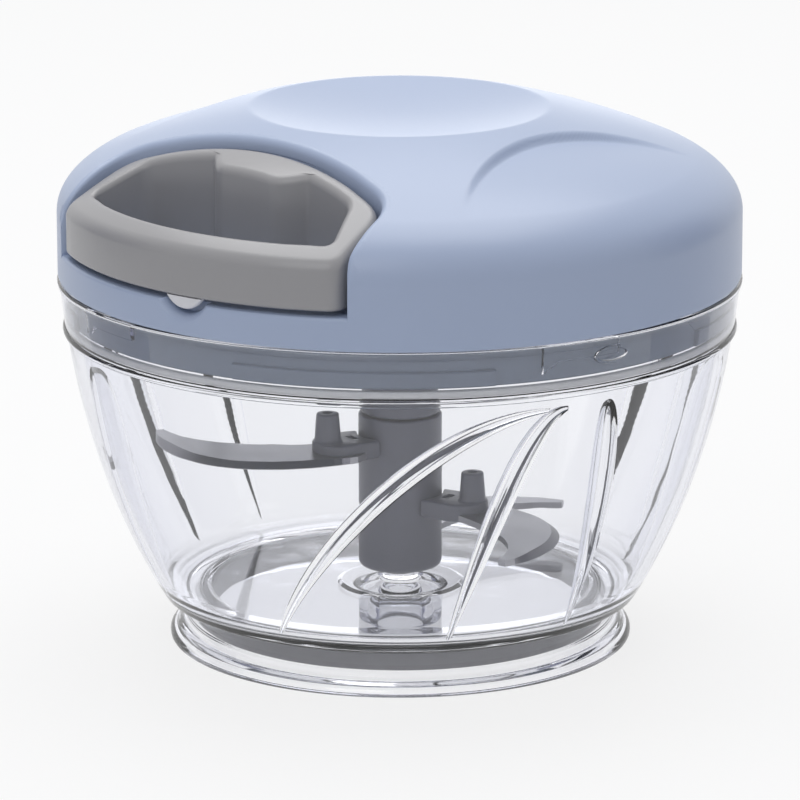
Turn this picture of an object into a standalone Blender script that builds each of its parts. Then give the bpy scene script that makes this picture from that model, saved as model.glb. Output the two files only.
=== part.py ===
"""Pull-cord food chopper: clear bowl, three-blade rotor and a domed lid with its cord mechanism.

The frame is metres with +Z up. The origin is the centre of the ring that the bowl stands on.
The pull handle is docked at the front, which is -Y. Every piece is its own object.
"""

import math

import bmesh
import bpy
from mathutils import Matrix, Vector

MM = 0.001

# Clearances
SEAT_GAP = 0.3 * MM
RUNNING_GAP = 0.3 * MM
SLIDE_GAP = 0.8 * MM

# Bowl wall: a smooth curve from the lower corner to the rim
BOWL_CORNER_R = 45.3 * MM
BOWL_CORNER_Z = 9.8 * MM
BOWL_RIM_R = 64.5 * MM
BOWL_BELLY_IN = 6.1 * MM
BOWL_CURVE_R = BOWL_RIM_R - BOWL_BELLY_IN
BOWL_CURVE_Z = 33.2 * MM
BOWL_RIM_Z = 71.2 * MM
BOWL_BAND = 4.6 * MM
BOWL_BAND_Z = BOWL_RIM_Z - BOWL_BAND
RIM_EDGE = 0.4 * MM
BOWL_WALL = 2.4 * MM
BOWL_RIM_WALL = 1.9 * MM
BOWL_FLOOR = 2.4 * MM
FLOOR_FILLET = 4.0 * MM
SEAL_LEDGE_DROP = 9.0 * MM
SEAL_LEDGE_Z = BOWL_RIM_Z - SEAL_LEDGE_DROP
SEAL_LEDGE_WIDTH = 2.6 * MM
SEAL_LIP = 0.5 * MM
LEDGE_TAPER = 6.0 * MM

# Foot under the bowl and the non-slip ring inside it
FOOT_WAIST_R = 41.2 * MM
FOOT_WALL = 2.0 * MM
FOOT_FLANGE_R = 44.2 * MM
FOOT_FLANGE_Z = 2.4 * MM
FOOT_CLEAR_Z = 0.5 * MM
FOOT_EDGE = 0.8 * MM
RING_WIDTH = 3.0 * MM

# Pin that the rotor turns on, and its moulding boss below the floor
PIN_R = 3.6 * MM
PIN_TOP_Z = 33.7 * MM
PIN_NOSE = 1.6 * MM
PIN_FILLET = 0.8 * MM
PIN_BOSS_R = 7.2 * MM
PIN_CORE_R = 2.0 * MM
PIN_BOSS_Z = 3.0 * MM
PIN_PHASE = 2.3

# Ribs inside the bowl: azimuth of the foot and how far each one sweeps round, in degrees
RIBS = (
    (-76.0, 56.0),
    (-36.0, 19.0),
    (-5.0, -4.0),
    (27.0, 2.0),
    (51.0, 3.0),
    (77.0, -5.0),
    (171.0, 2.0),
    (196.0, 6.0),
    (-118.0, 4.0),
)
RIB_BASE_WIDTH = 3.6 * MM
RIB_CREST_WIDTH = 1.2 * MM
RIB_DEPTH = 3.6 * MM
RIB_FOOT_Z = 12.0 * MM
RIB_HEAD_DROP = 4.2 * MM
RIB_HEAD_Z = SEAL_LEDGE_Z - RIB_HEAD_DROP
RIB_ROOT = 1.0 * MM
RIB_STATIONS = 10

# Bayonet between lid and bowl
CATCH_COUNT = 4
CATCH_FIRST = -20.0
CATCH_SWEEP = 12.0
CATCH_HEIGHT = 3.1 * MM
CATCH_TOP_Z = BOWL_RIM_Z - SEAT_GAP
CATCH_BOTTOM_Z = CATCH_TOP_Z - CATCH_HEIGHT
CATCH_DEPTH = 1.6 * MM
CATCH_STOP_SWEEP = 2.8
CATCH_STOP_DROP = 2.1 * MM
LUG_FIRST = -76.0
LUG_SWEEP = 45.0
LUG_HEIGHT = 3.1 * MM
LUG_GAP = 0.4 * MM

# Heights of the lid's pieces, each stacked on the one below it
SEAL_SPACE = 2.0 * MM
BASE_SKIRT_BOTTOM_Z = SEAL_LEDGE_Z + SEAL_SPACE
PLATE_SET_UP = 2.0 * MM
BASE_PLATE = 2.2 * MM
BASE_PLATE_Z = BASE_SKIRT_BOTTOM_Z + PLATE_SET_UP
BEARING_LENGTH = 7.7 * MM
BEARING_BOTTOM_Z = BASE_PLATE_Z - BEARING_LENGTH
AXLE_REACH = 2.5 * MM
AXLE_BOTTOM_Z = BEARING_BOTTOM_Z - AXLE_REACH
RATCHET_SET_UP = 1.8 * MM
RATCHET_Z = BASE_PLATE_Z + BASE_PLATE + RATCHET_SET_UP
PAWL_THICKNESS = 3.0 * MM
RATCHET_HEADROOM = 3.6 * MM
DRUM_SET_UP = 2.1 * MM
DRUM_FLANGE = 1.2 * MM
DRUM_WIDTH = 7.8 * MM
DRUM_BOTTOM_Z = RATCHET_Z + PAWL_THICKNESS + RATCHET_HEADROOM + DRUM_SET_UP
CORD_Z = DRUM_BOTTOM_Z + DRUM_FLANGE + DRUM_WIDTH / 2
HOUSING_HEADROOM = 0.9 * MM
HOUSING_TOP_Z = CORD_Z + DRUM_WIDTH / 2 + HOUSING_HEADROOM
CASE_HEIGHT = 6.8 * MM
CASE_LID = 1.0 * MM
CROWN_ROOM = 2.3 * MM
COVER_WALL = 2.4 * MM
WORKS_TOP_Z = HOUSING_TOP_Z + SEAT_GAP + CASE_HEIGHT + SEAT_GAP + CASE_LID
DISH_CENTRE_Z = WORKS_TOP_Z + CROWN_ROOM + COVER_WALL
DISH_SINK = 4.65 * MM
LID_CROWN_Z = DISH_CENTRE_Z + DISH_SINK
SHOULDER_DROP = 0.3 * MM
SHOULDER_Z = CORD_Z - SHOULDER_DROP
HANDLE_BELOW_CORD = 5.0 * MM
HANDLE_BOTTOM_Z = CORD_Z - HANDLE_BELOW_CORD

# Rotor
SHAFT_R = 8.0 * MM
SHAFT_BOTTOM_Z = 13.8 * MM
SHAFT_TOP_Z = 43.8 * MM
SOCKET_DEPTH = 7.3 * MM
SOCKET_R = 6.2 * MM
SOCKET_DOG_R = 4.2 * MM
SOCKET_DOG_SWEEP = 50.0
BLADE_TOP_Z = (36.7 * MM, 23.7 * MM, 17.8 * MM)
BLADE_INSET = (16.5 * MM, 19.5 * MM, 22.5 * MM)
BLADE_DRAWN_REACH = 48.0 * MM
BLADE_AZIMUTH = (-107.0, 13.0, 133.0)
BLADE_NAMES = ("top", "middle", "bottom")
BLADE_THICKNESS = 1.2 * MM
BLADE_BEVEL = 2.6 * MM
BLADE_EDGE = 0.25 * MM
BLADE_ROOT_GAP = 1.0 * MM
BLADE_ROOT_HALF = 4.4 * MM
ARM_THICKNESS = 4.3 * MM
ARM_REACH = 17.5 * MM
ARM_WIDTH = 10.5 * MM
POST_AT = 15.2 * MM
POST_BASE_R = 2.7 * MM
POST_TOP_R = 2.1 * MM
POST_HEIGHT = 6.0 * MM

# Lid cover
LID_OVERHANG = 0.5 * MM
LID_R = BOWL_RIM_R + LID_OVERHANG
DOME_R = 126.0 * MM
SHOULDER_WIDTH = 8.15 * MM
SHOULDER_R = LID_R - SHOULDER_WIDTH
SHOULDER_FULLNESS = 0.574
COVER_STEP = 0.9 * MM
DISH_R = 26.3 * MM
SCALLOP_R = 55.2 * MM
SCALLOP_BEYOND = 24.1 * MM
SCALLOP_X = LID_R + SCALLOP_BEYOND
SCALLOP_Y = 2.0 * MM
SCALLOP_DEPTH = 1.5 * MM
SCALLOP_INNER_R = 34.0 * MM
SCALLOP_MARGIN = 8.0 * MM
SCALLOP_OUTER_R = LID_R - SCALLOP_MARGIN

# Lid base
SKIRT_ROOM = 2.0 * MM
BASE_SKIRT_R = BOWL_RIM_R - BOWL_RIM_WALL - SKIRT_ROOM
BASE_SKIRT_WALL = 1.6 * MM
BASE_FLANGE = 1.7 * MM
BASE_FLANGE_HEIGHT = 1.6 * MM
BEARING_R = 10.4 * MM

# Pull handle and its pocket in the lid
HANDLE_SET_BACK = 0.2 * MM
HANDLE_FRONT_R = LID_R - HANDLE_SET_BACK
HANDLE_HALF_ANGLE = 33.0
HANDLE_REAR_Y = -35.0 * MM
HANDLE_REAR_CURVE = 130.0 * MM
HANDLE_REAR_HALF = 33.0 * MM
HANDLE_SINK = 1.4 * MM
HANDLE_BAR = 5.2 * MM
HANDLE_SIDE = 4.6 * MM
HANDLE_BACK = 3.4 * MM
HANDLE_CORNER = 6.0 * MM
CORD_BOSS_HALF = 9.0 * MM
CORD_BOSS_DEPTH = 4.4 * MM
TAB_R = 3.9 * MM
TAB_THICKNESS = 1.6 * MM
TAB_DROP = 1.6 * MM
TAB_SET_BACK = 0.6 * MM
TAB_ROOM = 1.4 * MM
POCKET_WALL = 1.8 * MM

# Cord, drum and eyelet
CORD_R = 1.2 * MM
CORD_ROOM = 0.4 * MM
DRUM_R = 10.5 * MM
WINDING_R = 14.0 * MM
DRUM_FLANGE_R = 21.0 * MM
EYELET_R = 2.7 * MM
EYELET_FLANGE_R = 4.2 * MM
EYELET_FLANGE = 1.1 * MM
EYELET_MOUTH = 0.5 * MM
KNOT_R = 2.3 * MM
KNOT_ROOM = 0.8 * MM
KNOT_SLOT_TOP = 4.0 * MM

# Drive hub, its bush, the pawl plate and the axle
HUB_R = 7.2 * MM
HUB_COLLAR_R = 7.7 * MM
HUB_COLLAR = 2.3 * MM
HUB_NECK_R = 5.6 * MM
HUB_SPIGOT_CORE_R = 3.8 * MM
HUB_DOG_SWEEP = 40.0
BUSH_WALL = 1.6 * MM
BUSH_FLANGE = 0.9 * MM
BUSH_SETBACK = 0.6 * MM
HUB_SPLINE_R = 3.4 * MM
HUB_FOOT_GAP = 0.5 * MM
HUB_END = 0.8 * MM
PAWL_R = 8.0 * MM
PAWL_TIP_R = 11.0 * MM
PAWL_SWEEP = 24.0
RATCHET_TEETH = 12
RATCHET_TOOTH = 1.3 * MM
RATCHET_WALL = 1.7 * MM
RATCHET_ROOM = 0.5 * MM
TOOTH_SWEEP = 8.0
TOOTH_LIFT = 0.2 * MM
CLIP_R = 5.6 * MM
CLIP_THICKNESS = 0.8 * MM
AXLE_R = 2.0 * MM
AXLE_ROOM = 1.0 * MM

# Housing of the drum, and the spring case on top of it
HOUSING_R = 25.0 * MM
HOUSING_WALL = 1.8 * MM
HOUSING_WINDOW_R = 4.0 * MM
EAR_OUT = 4.0 * MM
EAR_AT = HOUSING_R + EAR_OUT
EAR_R = 4.2 * MM
EAR_THICKNESS = 2.4 * MM
CASE_FLOOR = 1.2 * MM
CASE_WALL = 1.6 * MM
ARBOR_R = 5.6 * MM
ARBOR_DROP = 1.0 * MM
SPRING_STRIP = 0.8 * MM
SPRING_TURNS = 6
SPRING_STATIONS = 14

# Screws
SCREW_R = 1.25 * MM
SCREW_HEAD_R = 2.8 * MM
SCREW_HEAD = 1.4 * MM
SCREW_LENGTH = 11.0 * MM
HOUSING_SCREW_LENGTH = 4.4 * MM
BOSS_R = 3.6 * MM
BOSS_INSET = 10.6 * MM
BOSS_AT = BASE_SKIRT_R - BOSS_INSET
BOSS_AZIMUTHS = (90.0, 205.0, -25.0)
EAR_AZIMUTHS = (90.0, 210.0, -30.0)

# Facets
FINE_FACETS = 48
ROUND_FACETS = 28
SMALL_FACETS = 16
BORE_FACETS = 12
SCALLOP_FACETS = 64

# How far a cutter reaches past the face it cuts
PAST = 1.0 * MM


def clear_scene():
    """Start from an empty file."""
    for item in list(bpy.data.objects):
        bpy.data.objects.remove(item, do_unlink=True)


def plastic(name, colour, roughness, metallic=0.0, alpha=1.0):
    """One finish, with its colour, roughness, metallic value and alpha."""
    material = bpy.data.materials.new(name)
    material.use_nodes = True
    shader = material.node_tree.nodes["Principled BSDF"]
    shader.inputs["Base Color"].default_value = (*colour, 1.0)
    shader.inputs["Roughness"].default_value = roughness
    shader.inputs["Metallic"].default_value = metallic
    shader.inputs["Alpha"].default_value = alpha
    material.diffuse_color = (*colour, alpha)
    return material


def polar(radius, degrees):
    """A point in plan, from a radius and an azimuth."""
    angle = math.radians(degrees)
    return Vector((radius * math.cos(angle), radius * math.sin(angle)))


def arc(centre, radius, start, end, steps):
    """Points along an arc in plan, angles in degrees."""
    points = []
    for step in range(steps + 1):
        turn = start + (end - start) * step / steps
        points.append(Vector(centre) + polar(radius, turn))
    return points


def curve(first, control, last, steps):
    """Points along a curve with one control point."""
    points = []
    for step in range(steps + 1):
        t = step / steps
        a = (1.0 - t) ** 2
        b = 2.0 * t * (1.0 - t)
        points.append(Vector(first) * a + Vector(control) * b + Vector(last) * t * t)
    return points


def rounded(corners, radii, steps=5):
    """A closed plan outline whose corners are cut by short curves."""
    outline = []
    count = len(corners)
    for index, corner in enumerate(corners):
        here = Vector(corner)
        before = Vector(corners[index - 1])
        after = Vector(corners[(index + 1) % count])
        reach = min(radii[index], (before - here).length * 0.45, (after - here).length * 0.45)
        if reach <= 0.0:
            outline.append(here)
            continue
        first = here + (before - here).normalized() * reach
        last = here + (after - here).normalized() * reach
        outline.extend(curve(first, here, last, steps))
    return outline


def grown(outline, amount):
    """A plan outline, counter-clockwise, moved outwards by one distance."""
    moved = []
    count = len(outline)
    for index in range(count):
        before = outline[index - 1]
        here = outline[index]
        after = outline[(index + 1) % count]
        first = (here - before).normalized()
        second = (after - here).normalized()
        normal = Vector((first.y + second.y, -first.x - second.x)).normalized()
        stretch = max(0.5, normal.dot(Vector((first.y, -first.x))))
        moved.append(here + normal * amount / stretch)
    return moved


def lobed(core, tip, count, sweep, phase, steps=4, gap_steps=6):
    """A round outline with lobes that rise, or dip, from its core radius to its tip radius."""
    outline = []
    pitch = 360.0 / count
    for index in range(count):
        middle = phase + pitch * index
        outline.extend(arc((0.0, 0.0), tip, middle - sweep / 2, middle + sweep / 2, steps))
        rest = middle + sweep / 2
        outline.extend(arc((0.0, 0.0), core, rest, rest + pitch - sweep, gap_steps))
    return outline


def add_object(name, mesh_builder, material, sharp=35.0):
    """Make a named object from a mesh under construction, smooth but for its sharp edges."""
    bmesh.ops.recalc_face_normals(mesh_builder, faces=mesh_builder.faces)
    mesh = bpy.data.meshes.new(name)
    mesh_builder.to_mesh(mesh)
    mesh_builder.free()
    mesh.shade_smooth()
    mesh.set_sharp_from_angle(angle=math.radians(sharp))
    if material is not None:
        mesh.materials.append(material)
    item = bpy.data.objects.new(name, mesh)
    bpy.context.scene.collection.objects.link(item)
    return item


def turned(name, profile, material=None, segments=ROUND_FACETS, sharp=35.0):
    """A body turned about Z from a closed profile of radius and height."""
    builder = bmesh.new()
    verts = [builder.verts.new((radius, 0.0, height)) for radius, height in profile]
    edges = [builder.edges.new((verts[i - 1], verts[i])) for i in range(len(verts))]
    on_axis = [edge for edge in edges if max(v.co.x for v in edge.verts) < 1e-7]
    swept = [edge for edge in edges if edge not in on_axis]
    bmesh.ops.spin(
        builder,
        geom=verts + swept,
        cent=(0.0, 0.0, 0.0),
        axis=(0.0, 0.0, 1.0),
        angle=math.tau,
        steps=segments,
        use_merge=True,
    )
    loose = [edge for edge in builder.edges if not edge.link_faces]
    bmesh.ops.delete(builder, geom=loose, context="EDGES")
    bmesh.ops.remove_doubles(builder, verts=builder.verts, dist=1e-6)
    return add_object(name, builder, material, sharp)


def prism(name, outline, low, high, material=None, sharp=35.0):
    """A plan outline raised from one height to another."""
    builder = bmesh.new()
    verts = [builder.verts.new((point[0], point[1], low)) for point in outline]
    face = builder.faces.new(verts)
    raised = bmesh.ops.extrude_face_region(builder, geom=[face])
    tops = [item for item in raised["geom"] if isinstance(item, bmesh.types.BMVert)]
    bmesh.ops.translate(builder, vec=(0.0, 0.0, high - low), verts=tops)
    return add_object(name, builder, material, sharp)


def rings(name, sections, material=None, sharp=35.0):
    """Closed bodies from lists of matching rings of points, capped at both ends."""
    builder = bmesh.new()
    for body in sections:
        loops = [[builder.verts.new(point) for point in ring] for ring in body]
        for low, high in zip(loops, loops[1:]):
            count = len(low)
            for index in range(count):
                after = (index + 1) % count
                builder.faces.new((low[index], low[after], high[after], high[index]))
        builder.faces.new(loops[0][::-1])
        builder.faces.new(loops[-1])
    return add_object(name, builder, material, sharp)


def tube(name, points, radius, material, sides=10):
    """A round cord along a list of points, with flat ends."""
    sections = []
    count = len(points)
    for index, point in enumerate(points):
        before = Vector(points[max(index - 1, 0)])
        after = Vector(points[min(index + 1, count - 1)])
        ahead = (after - before).normalized()
        side = ahead.cross(Vector((0.0, 0.0, 1.0))).normalized()
        up = side.cross(ahead)
        ring = []
        for step in range(sides):
            turn = math.tau * step / sides
            ring.append(Vector(point) + (side * math.cos(turn) + up * math.sin(turn)) * radius)
        sections.append(ring)
    return rings(name, [sections], material)


def disc(name, radius, low, high, centre=(0.0, 0.0), material=None, segments=SMALL_FACETS):
    """A plain round bar, upright."""
    pitch = 360.0 / segments
    outline = arc(centre, radius, pitch / 2, 360.0 - pitch / 2, segments - 1)
    return prism(name, outline, low, high, material)


def crossbar(name, radius, centre, low_y, high_y, segments=SMALL_FACETS):
    """A round bar lying along Y, for holes through a front or rear wall."""
    x, z = centre
    item = disc(name, radius, low_y, high_y, (x, -z), None, segments)
    item.data.transform(Matrix.Rotation(math.radians(-90.0), 4, "X"))
    return item


def merged(name, parts, material=None):
    """Several cutting shapes as one object, their meshes side by side."""
    builder = bmesh.new()
    for part in parts:
        builder.from_mesh(part.data)
        bpy.data.objects.remove(part, do_unlink=True)
    return add_object(name, builder, material)


def tool(item):
    """Mark an object as a cutter, which is no part of the product."""
    item.hide_render = True
    item.display_type = "WIRE"
    return item


def apply_tool(item, cutter, operation):
    """Cut, join or limit an object by another one."""
    step = item.modifiers.new(cutter.name, "BOOLEAN")
    step.solver = "EXACT"
    step.operation = operation
    step.object = tool(cutter)


def dome(radius):
    """Height of the lid's domed surface at one radius."""
    return LID_CROWN_Z - radius * radius / (2.0 * DOME_R)


def bowl_curve(inset, steps=8):
    """The bowl's wall from the lower corner up to the band, moved inwards by an inset."""
    wall = curve(
        (BOWL_CORNER_R, BOWL_CORNER_Z),
        (BOWL_CURVE_R, BOWL_CURVE_Z),
        (BOWL_RIM_R, BOWL_BAND_Z),
        steps,
    )
    return [Vector((point.x - inset, point.y)) for point in wall]


def wall_radius(height, inset):
    """Radius of the bowl's wall at one height, moved inwards by an inset."""
    wall = bowl_curve(inset, 40)
    for low, high in zip(wall, wall[1:]):
        if low.y <= height <= high.y:
            share = (height - low.y) / (high.y - low.y)
            return low.x + (high.x - low.x) * share
    return wall[-1].x


def floor_top():
    """Height of the bowl's inside floor."""
    return BOWL_CORNER_Z - 1.4 * MM + BOWL_FLOOR


def floor_under():
    """Height of the underside of the bowl's floor."""
    return floor_top() - BOWL_FLOOR


def rib_path(azimuth, sweep, share):
    """A point on the inside of the wall along one rib, from its foot to its head."""
    height = RIB_FOOT_Z + (RIB_HEAD_Z - RIB_FOOT_Z) * math.sin(share * math.pi / 2)
    turn = azimuth + sweep * share
    plan = polar(wall_radius(height, BOWL_WALL), turn)
    return Vector((plan.x, plan.y, height))


def rib_bodies():
    """The ribs, each one a tapered fin swept along the inside of the wall."""
    bodies = []
    for azimuth, sweep in RIBS:
        sections = []
        for station in range(RIB_STATIONS):
            share = 0.97 * station / (RIB_STATIONS - 1)
            here = rib_path(azimuth, sweep, share)
            ahead = (rib_path(azimuth, sweep, share + 0.02) - here).normalized()
            outward = Vector((here.x, here.y, 0.0)).normalized()
            outward = (outward - ahead * outward.dot(ahead)).normalized()
            across = ahead.cross(outward)
            fade = math.sin(math.pi * (0.14 + 0.72 * share))
            root = here + outward * RIB_ROOT
            crest = here - outward * RIB_DEPTH * fade
            ring = [root - across * RIB_BASE_WIDTH / 2, crest - across * RIB_CREST_WIDTH / 2]
            ring += [crest + across * RIB_CREST_WIDTH / 2, root + across * RIB_BASE_WIDTH / 2]
            sections.append(ring)
        bodies.append(sections)
    return bodies


def catch_bodies():
    """Short ledges inside the rim that the lid's lugs slide under, each with a stop at its end."""
    bodies = []
    outer = BOWL_RIM_R - BOWL_RIM_WALL / 2
    inner = BOWL_RIM_R - BOWL_RIM_WALL - CATCH_DEPTH
    for index in range(CATCH_COUNT):
        start = CATCH_FIRST + 360.0 / CATCH_COUNT * index
        sections = []
        stations = [(start - CATCH_STOP_SWEEP, CATCH_BOTTOM_Z - CATCH_STOP_DROP)]
        stations += [(start + CATCH_SWEEP * step / 3, CATCH_BOTTOM_Z) for step in range(4)]
        for turn, low in stations:
            near = polar(inner, turn)
            far = polar(outer, turn)
            ring = [(near.x, near.y, low), (far.x, far.y, low)]
            ring += [(far.x, far.y, CATCH_TOP_Z), (near.x, near.y, CATCH_TOP_Z)]
            sections.append(ring)
        bodies.append(sections)
    return bodies


def build_pin_stock():
    """The centre pin above the floor and its moulding boss below it."""
    top = floor_top()
    profile = [(0.0, PIN_BOSS_Z), (PIN_BOSS_R, PIN_BOSS_Z), (PIN_BOSS_R, top - BOWL_FLOOR / 2)]
    profile += [(PIN_R + PIN_FILLET, top - BOWL_FLOOR / 2), (PIN_R + PIN_FILLET, top + PIN_FILLET / 4)]
    profile += [(PIN_R, top + PIN_FILLET * 1.25)]
    profile += [(PIN_R, PIN_TOP_Z - PIN_NOSE), (PIN_R - PIN_NOSE, PIN_TOP_Z), (0.0, PIN_TOP_Z)]
    stock = turned("bowl_pin_stock", profile, None, SMALL_FACETS)
    stock.data.transform(Matrix.Rotation(math.radians(PIN_PHASE), 4, "Z"))
    return stock


def build_bowl(material):
    """The clear bowl with its foot, centre pin, ribs and bayonet ledges."""
    top = floor_top()
    under = floor_under()
    rim_inner = BOWL_RIM_R - BOWL_RIM_WALL
    ledge_r = rim_inner - SEAL_LEDGE_WIDTH
    foot_inner = FOOT_WAIST_R - FOOT_WALL
    inside = [p for p in bowl_curve(BOWL_WALL) if top + FLOOR_FILLET < p.y < SEAL_LEDGE_Z - LEDGE_TAPER]
    fillet_r = wall_radius(top + FLOOR_FILLET, BOWL_WALL)
    fillet_end = (fillet_r - FLOOR_FILLET * 1.6, top)
    fillet = curve((fillet_r, top + FLOOR_FILLET), (fillet_r - FLOOR_FILLET * 0.4, top), fillet_end, 3)
    profile = [(FOOT_FLANGE_R - FOOT_EDGE, FOOT_CLEAR_Z), (FOOT_FLANGE_R, FOOT_CLEAR_Z + FOOT_EDGE)]
    profile += [(FOOT_FLANGE_R - FOOT_EDGE / 2, FOOT_FLANGE_Z)]
    profile += [(FOOT_WAIST_R, FOOT_FLANGE_Z + FOOT_EDGE * 2)]
    profile += [(FOOT_WAIST_R, under - FOOT_EDGE), (BOWL_CORNER_R - 0.9 * MM, BOWL_CORNER_Z - 1.0 * MM)]
    profile += [tuple(point) for point in bowl_curve(0.0)]
    profile += [(BOWL_RIM_R, BOWL_RIM_Z - RIM_EDGE), (BOWL_RIM_R - RIM_EDGE, BOWL_RIM_Z)]
    profile += [(rim_inner, BOWL_RIM_Z)]
    profile += [(rim_inner, SEAL_LEDGE_Z), (ledge_r, SEAL_LEDGE_Z), (ledge_r, SEAL_LEDGE_Z - 1.2 * MM)]
    profile += [tuple(point) for point in reversed(inside)]
    profile += [tuple(point) for point in fillet]
    profile += [(0.0, top), (0.0, under), (foot_inner - 1.0 * MM, under)]
    profile += [(foot_inner, under - 1.0 * MM), (foot_inner, FOOT_CLEAR_Z)]
    bowl = turned("bowl", profile, material, FINE_FACETS)
    apply_tool(bowl, build_pin_stock(), "UNION")
    core = [(0.0, PIN_BOSS_Z - 1.0 * MM), (PIN_CORE_R + 0.6 * MM, PIN_BOSS_Z - 1.0 * MM)]
    core += [(PIN_CORE_R, PIN_TOP_Z - 5.0 * MM), (0.0, PIN_TOP_Z - 4.0 * MM)]
    core_tool = turned("pin_core_tool", core, None, SMALL_FACETS)
    core_tool.data.transform(Matrix.Rotation(math.radians(PIN_PHASE * 2), 4, "Z"))
    apply_tool(bowl, core_tool, "DIFFERENCE")
    apply_tool(bowl, rings("bowl_rib_stock", rib_bodies()), "UNION")
    apply_tool(bowl, rings("bowl_catch_stock", catch_bodies()), "UNION")
    return bowl


def build_nonslip_ring(material):
    """The soft grey ring inside the foot, which the bowl stands on."""
    outer = FOOT_WAIST_R - FOOT_WALL - SEAT_GAP
    top = floor_under() - 1.0 * MM - SEAT_GAP
    inner = outer - RING_WIDTH
    profile = [(outer - 0.3 * MM, 0.0), (outer, 0.3 * MM), (outer, top)]
    profile += [(inner, top), (inner, 0.3 * MM), (inner + 0.3 * MM, 0.0)]
    return turned("nonslip_ring", profile, material, FINE_FACETS)


def build_shaft(material):
    """The rotor's shaft: bored for the pin below, with a dog socket above."""
    bore = PIN_R + RUNNING_GAP
    web = PIN_TOP_Z + RUNNING_GAP
    chamfer = 1.0 * MM
    profile = [(bore, SHAFT_BOTTOM_Z), (SHAFT_R - chamfer, SHAFT_BOTTOM_Z)]
    profile += [(SHAFT_R - chamfer * 0.3, SHAFT_BOTTOM_Z + chamfer * 0.3)]
    profile += [(SHAFT_R, SHAFT_BOTTOM_Z + chamfer)]
    profile += [(SHAFT_R, SHAFT_TOP_Z - 0.3 * MM), (SHAFT_R - 0.3 * MM, SHAFT_TOP_Z), (0.0, SHAFT_TOP_Z)]
    profile += [(0.0, web), (bore - 1.0 * MM, web), (bore, web - 1.0 * MM)]
    shaft = turned("blade_shaft", profile, material)
    outline = lobed(SOCKET_R, SOCKET_DOG_R, 2, SOCKET_DOG_SWEEP, 90.0)
    socket = prism("shaft_socket_tool", outline, SHAFT_TOP_Z - SOCKET_DEPTH, SHAFT_TOP_Z + 1.0 * MM)
    apply_tool(shaft, socket, "DIFFERENCE")
    return shaft


def blade_outline(reach):
    """A blade in plan before it is turned to its azimuth, and how many points its cutting edge has."""
    size = reach / BLADE_DRAWN_REACH
    lead = curve((13.0, 7.4), (41.0, 7.0), (41.5, -16.0), 7)
    lead += curve((41.5, -16.0), (41.3, -25.0), (37.6, -29.8), 3)[1:]
    trail = curve((36.0, -29.6), (36.0, -14.0), (13.0, -4.6), 6)
    points = [point * MM * size for point in lead + trail]
    start = SHAFT_R + SEAT_GAP + BLADE_ROOT_GAP
    inner = [Vector((start, -BLADE_ROOT_HALF)), Vector((start, BLADE_ROOT_HALF))]
    return points + inner, len(lead)


def build_blade(index, material):
    """One steel blade, lying under its arm, with a ground edge on its leading side."""
    top = BLADE_TOP_Z[index]
    outline, lead_count = blade_outline(BOWL_RIM_R - BLADE_INSET[index])
    low = top - BLADE_THICKNESS
    name = "blade_" + BLADE_NAMES[index]
    upper = []
    for position, point in enumerate(outline):
        if position < lead_count:
            before = outline[max(position - 1, 0)]
            after = outline[min(position + 1, lead_count - 1)]
            ahead = (after - before).normalized()
            inward = Vector((ahead.y, -ahead.x))
            fade = min(1.0, (lead_count - 1 - position) / 2.0, position / 1.5)
            upper.append(point + inward * BLADE_BEVEL * fade)
        else:
            upper.append(point)
    edge = low + BLADE_EDGE
    layers = [(outline, low), (outline, edge), (upper, top)]
    sections = [[(p.x, p.y, height) for p in points] for points, height in layers]
    blade = rings(name, [sections], material, 20.0)
    blade.data.transform(Matrix.Rotation(math.radians(BLADE_AZIMUTH[index]), 4, "Z"))
    return blade


def build_blade_root(index, material):
    """The grey arm that clips into the shaft and holds a blade from above, with its post."""
    low = BLADE_TOP_Z[index] + SEAT_GAP
    high = low + ARM_THICKNESS
    start = SHAFT_R + SEAT_GAP
    half = ARM_WIDTH / 2
    tip = arc((ARM_REACH - half, 0.0), half, -70.0, 70.0, 8)
    outline = [Vector((start, -half * 0.9))] + tip + [Vector((start, half * 0.9))]
    hub_side = arc((0.0, 0.0), start, 30.0, -30.0, 6)
    outline = hub_side + [p for p in outline if p.length > start + 0.6 * MM]
    name = "blade_arm_" + BLADE_NAMES[index]
    root = prism(name, outline, low, high, material)
    top = high + POST_HEIGHT
    stem = [(0.0, high - 1.0 * MM), (POST_BASE_R, high - 1.0 * MM), (POST_TOP_R, top - 0.4 * MM)]
    stem += [(POST_TOP_R - 0.4 * MM, top), (0.0, top)]
    post = turned(name + "_post_stock", stem, None, SMALL_FACETS)
    post.data.transform(Matrix.Translation((POST_AT, 0.0, 0.0)))
    spin = Matrix.Rotation(math.radians(BLADE_AZIMUTH[index]), 4, "Z")
    post.data.transform(spin)
    root.data.transform(spin)
    apply_tool(root, post, "UNION")
    return root


def lug_bodies():
    """The lid's four long lugs, which turn under the bowl's ledges."""
    bodies = []
    low = CATCH_BOTTOM_Z - LUG_GAP - LUG_HEIGHT
    high = low + LUG_HEIGHT
    inner = BASE_SKIRT_R - BASE_SKIRT_WALL / 2
    outer = BOWL_RIM_R - BOWL_RIM_WALL - LUG_GAP
    for index in range(CATCH_COUNT):
        start = LUG_FIRST + 360.0 / CATCH_COUNT * index
        sections = []
        for station in range(9):
            turn = start + LUG_SWEEP * station / 8
            near = polar(inner, turn)
            far = polar(outer, turn)
            ring = [(near.x, near.y, low), (far.x, far.y, low)]
            ring += [(far.x, far.y, high), (near.x, near.y, high)]
            sections.append(ring)
        bodies.append(sections)
    return bodies


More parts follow.
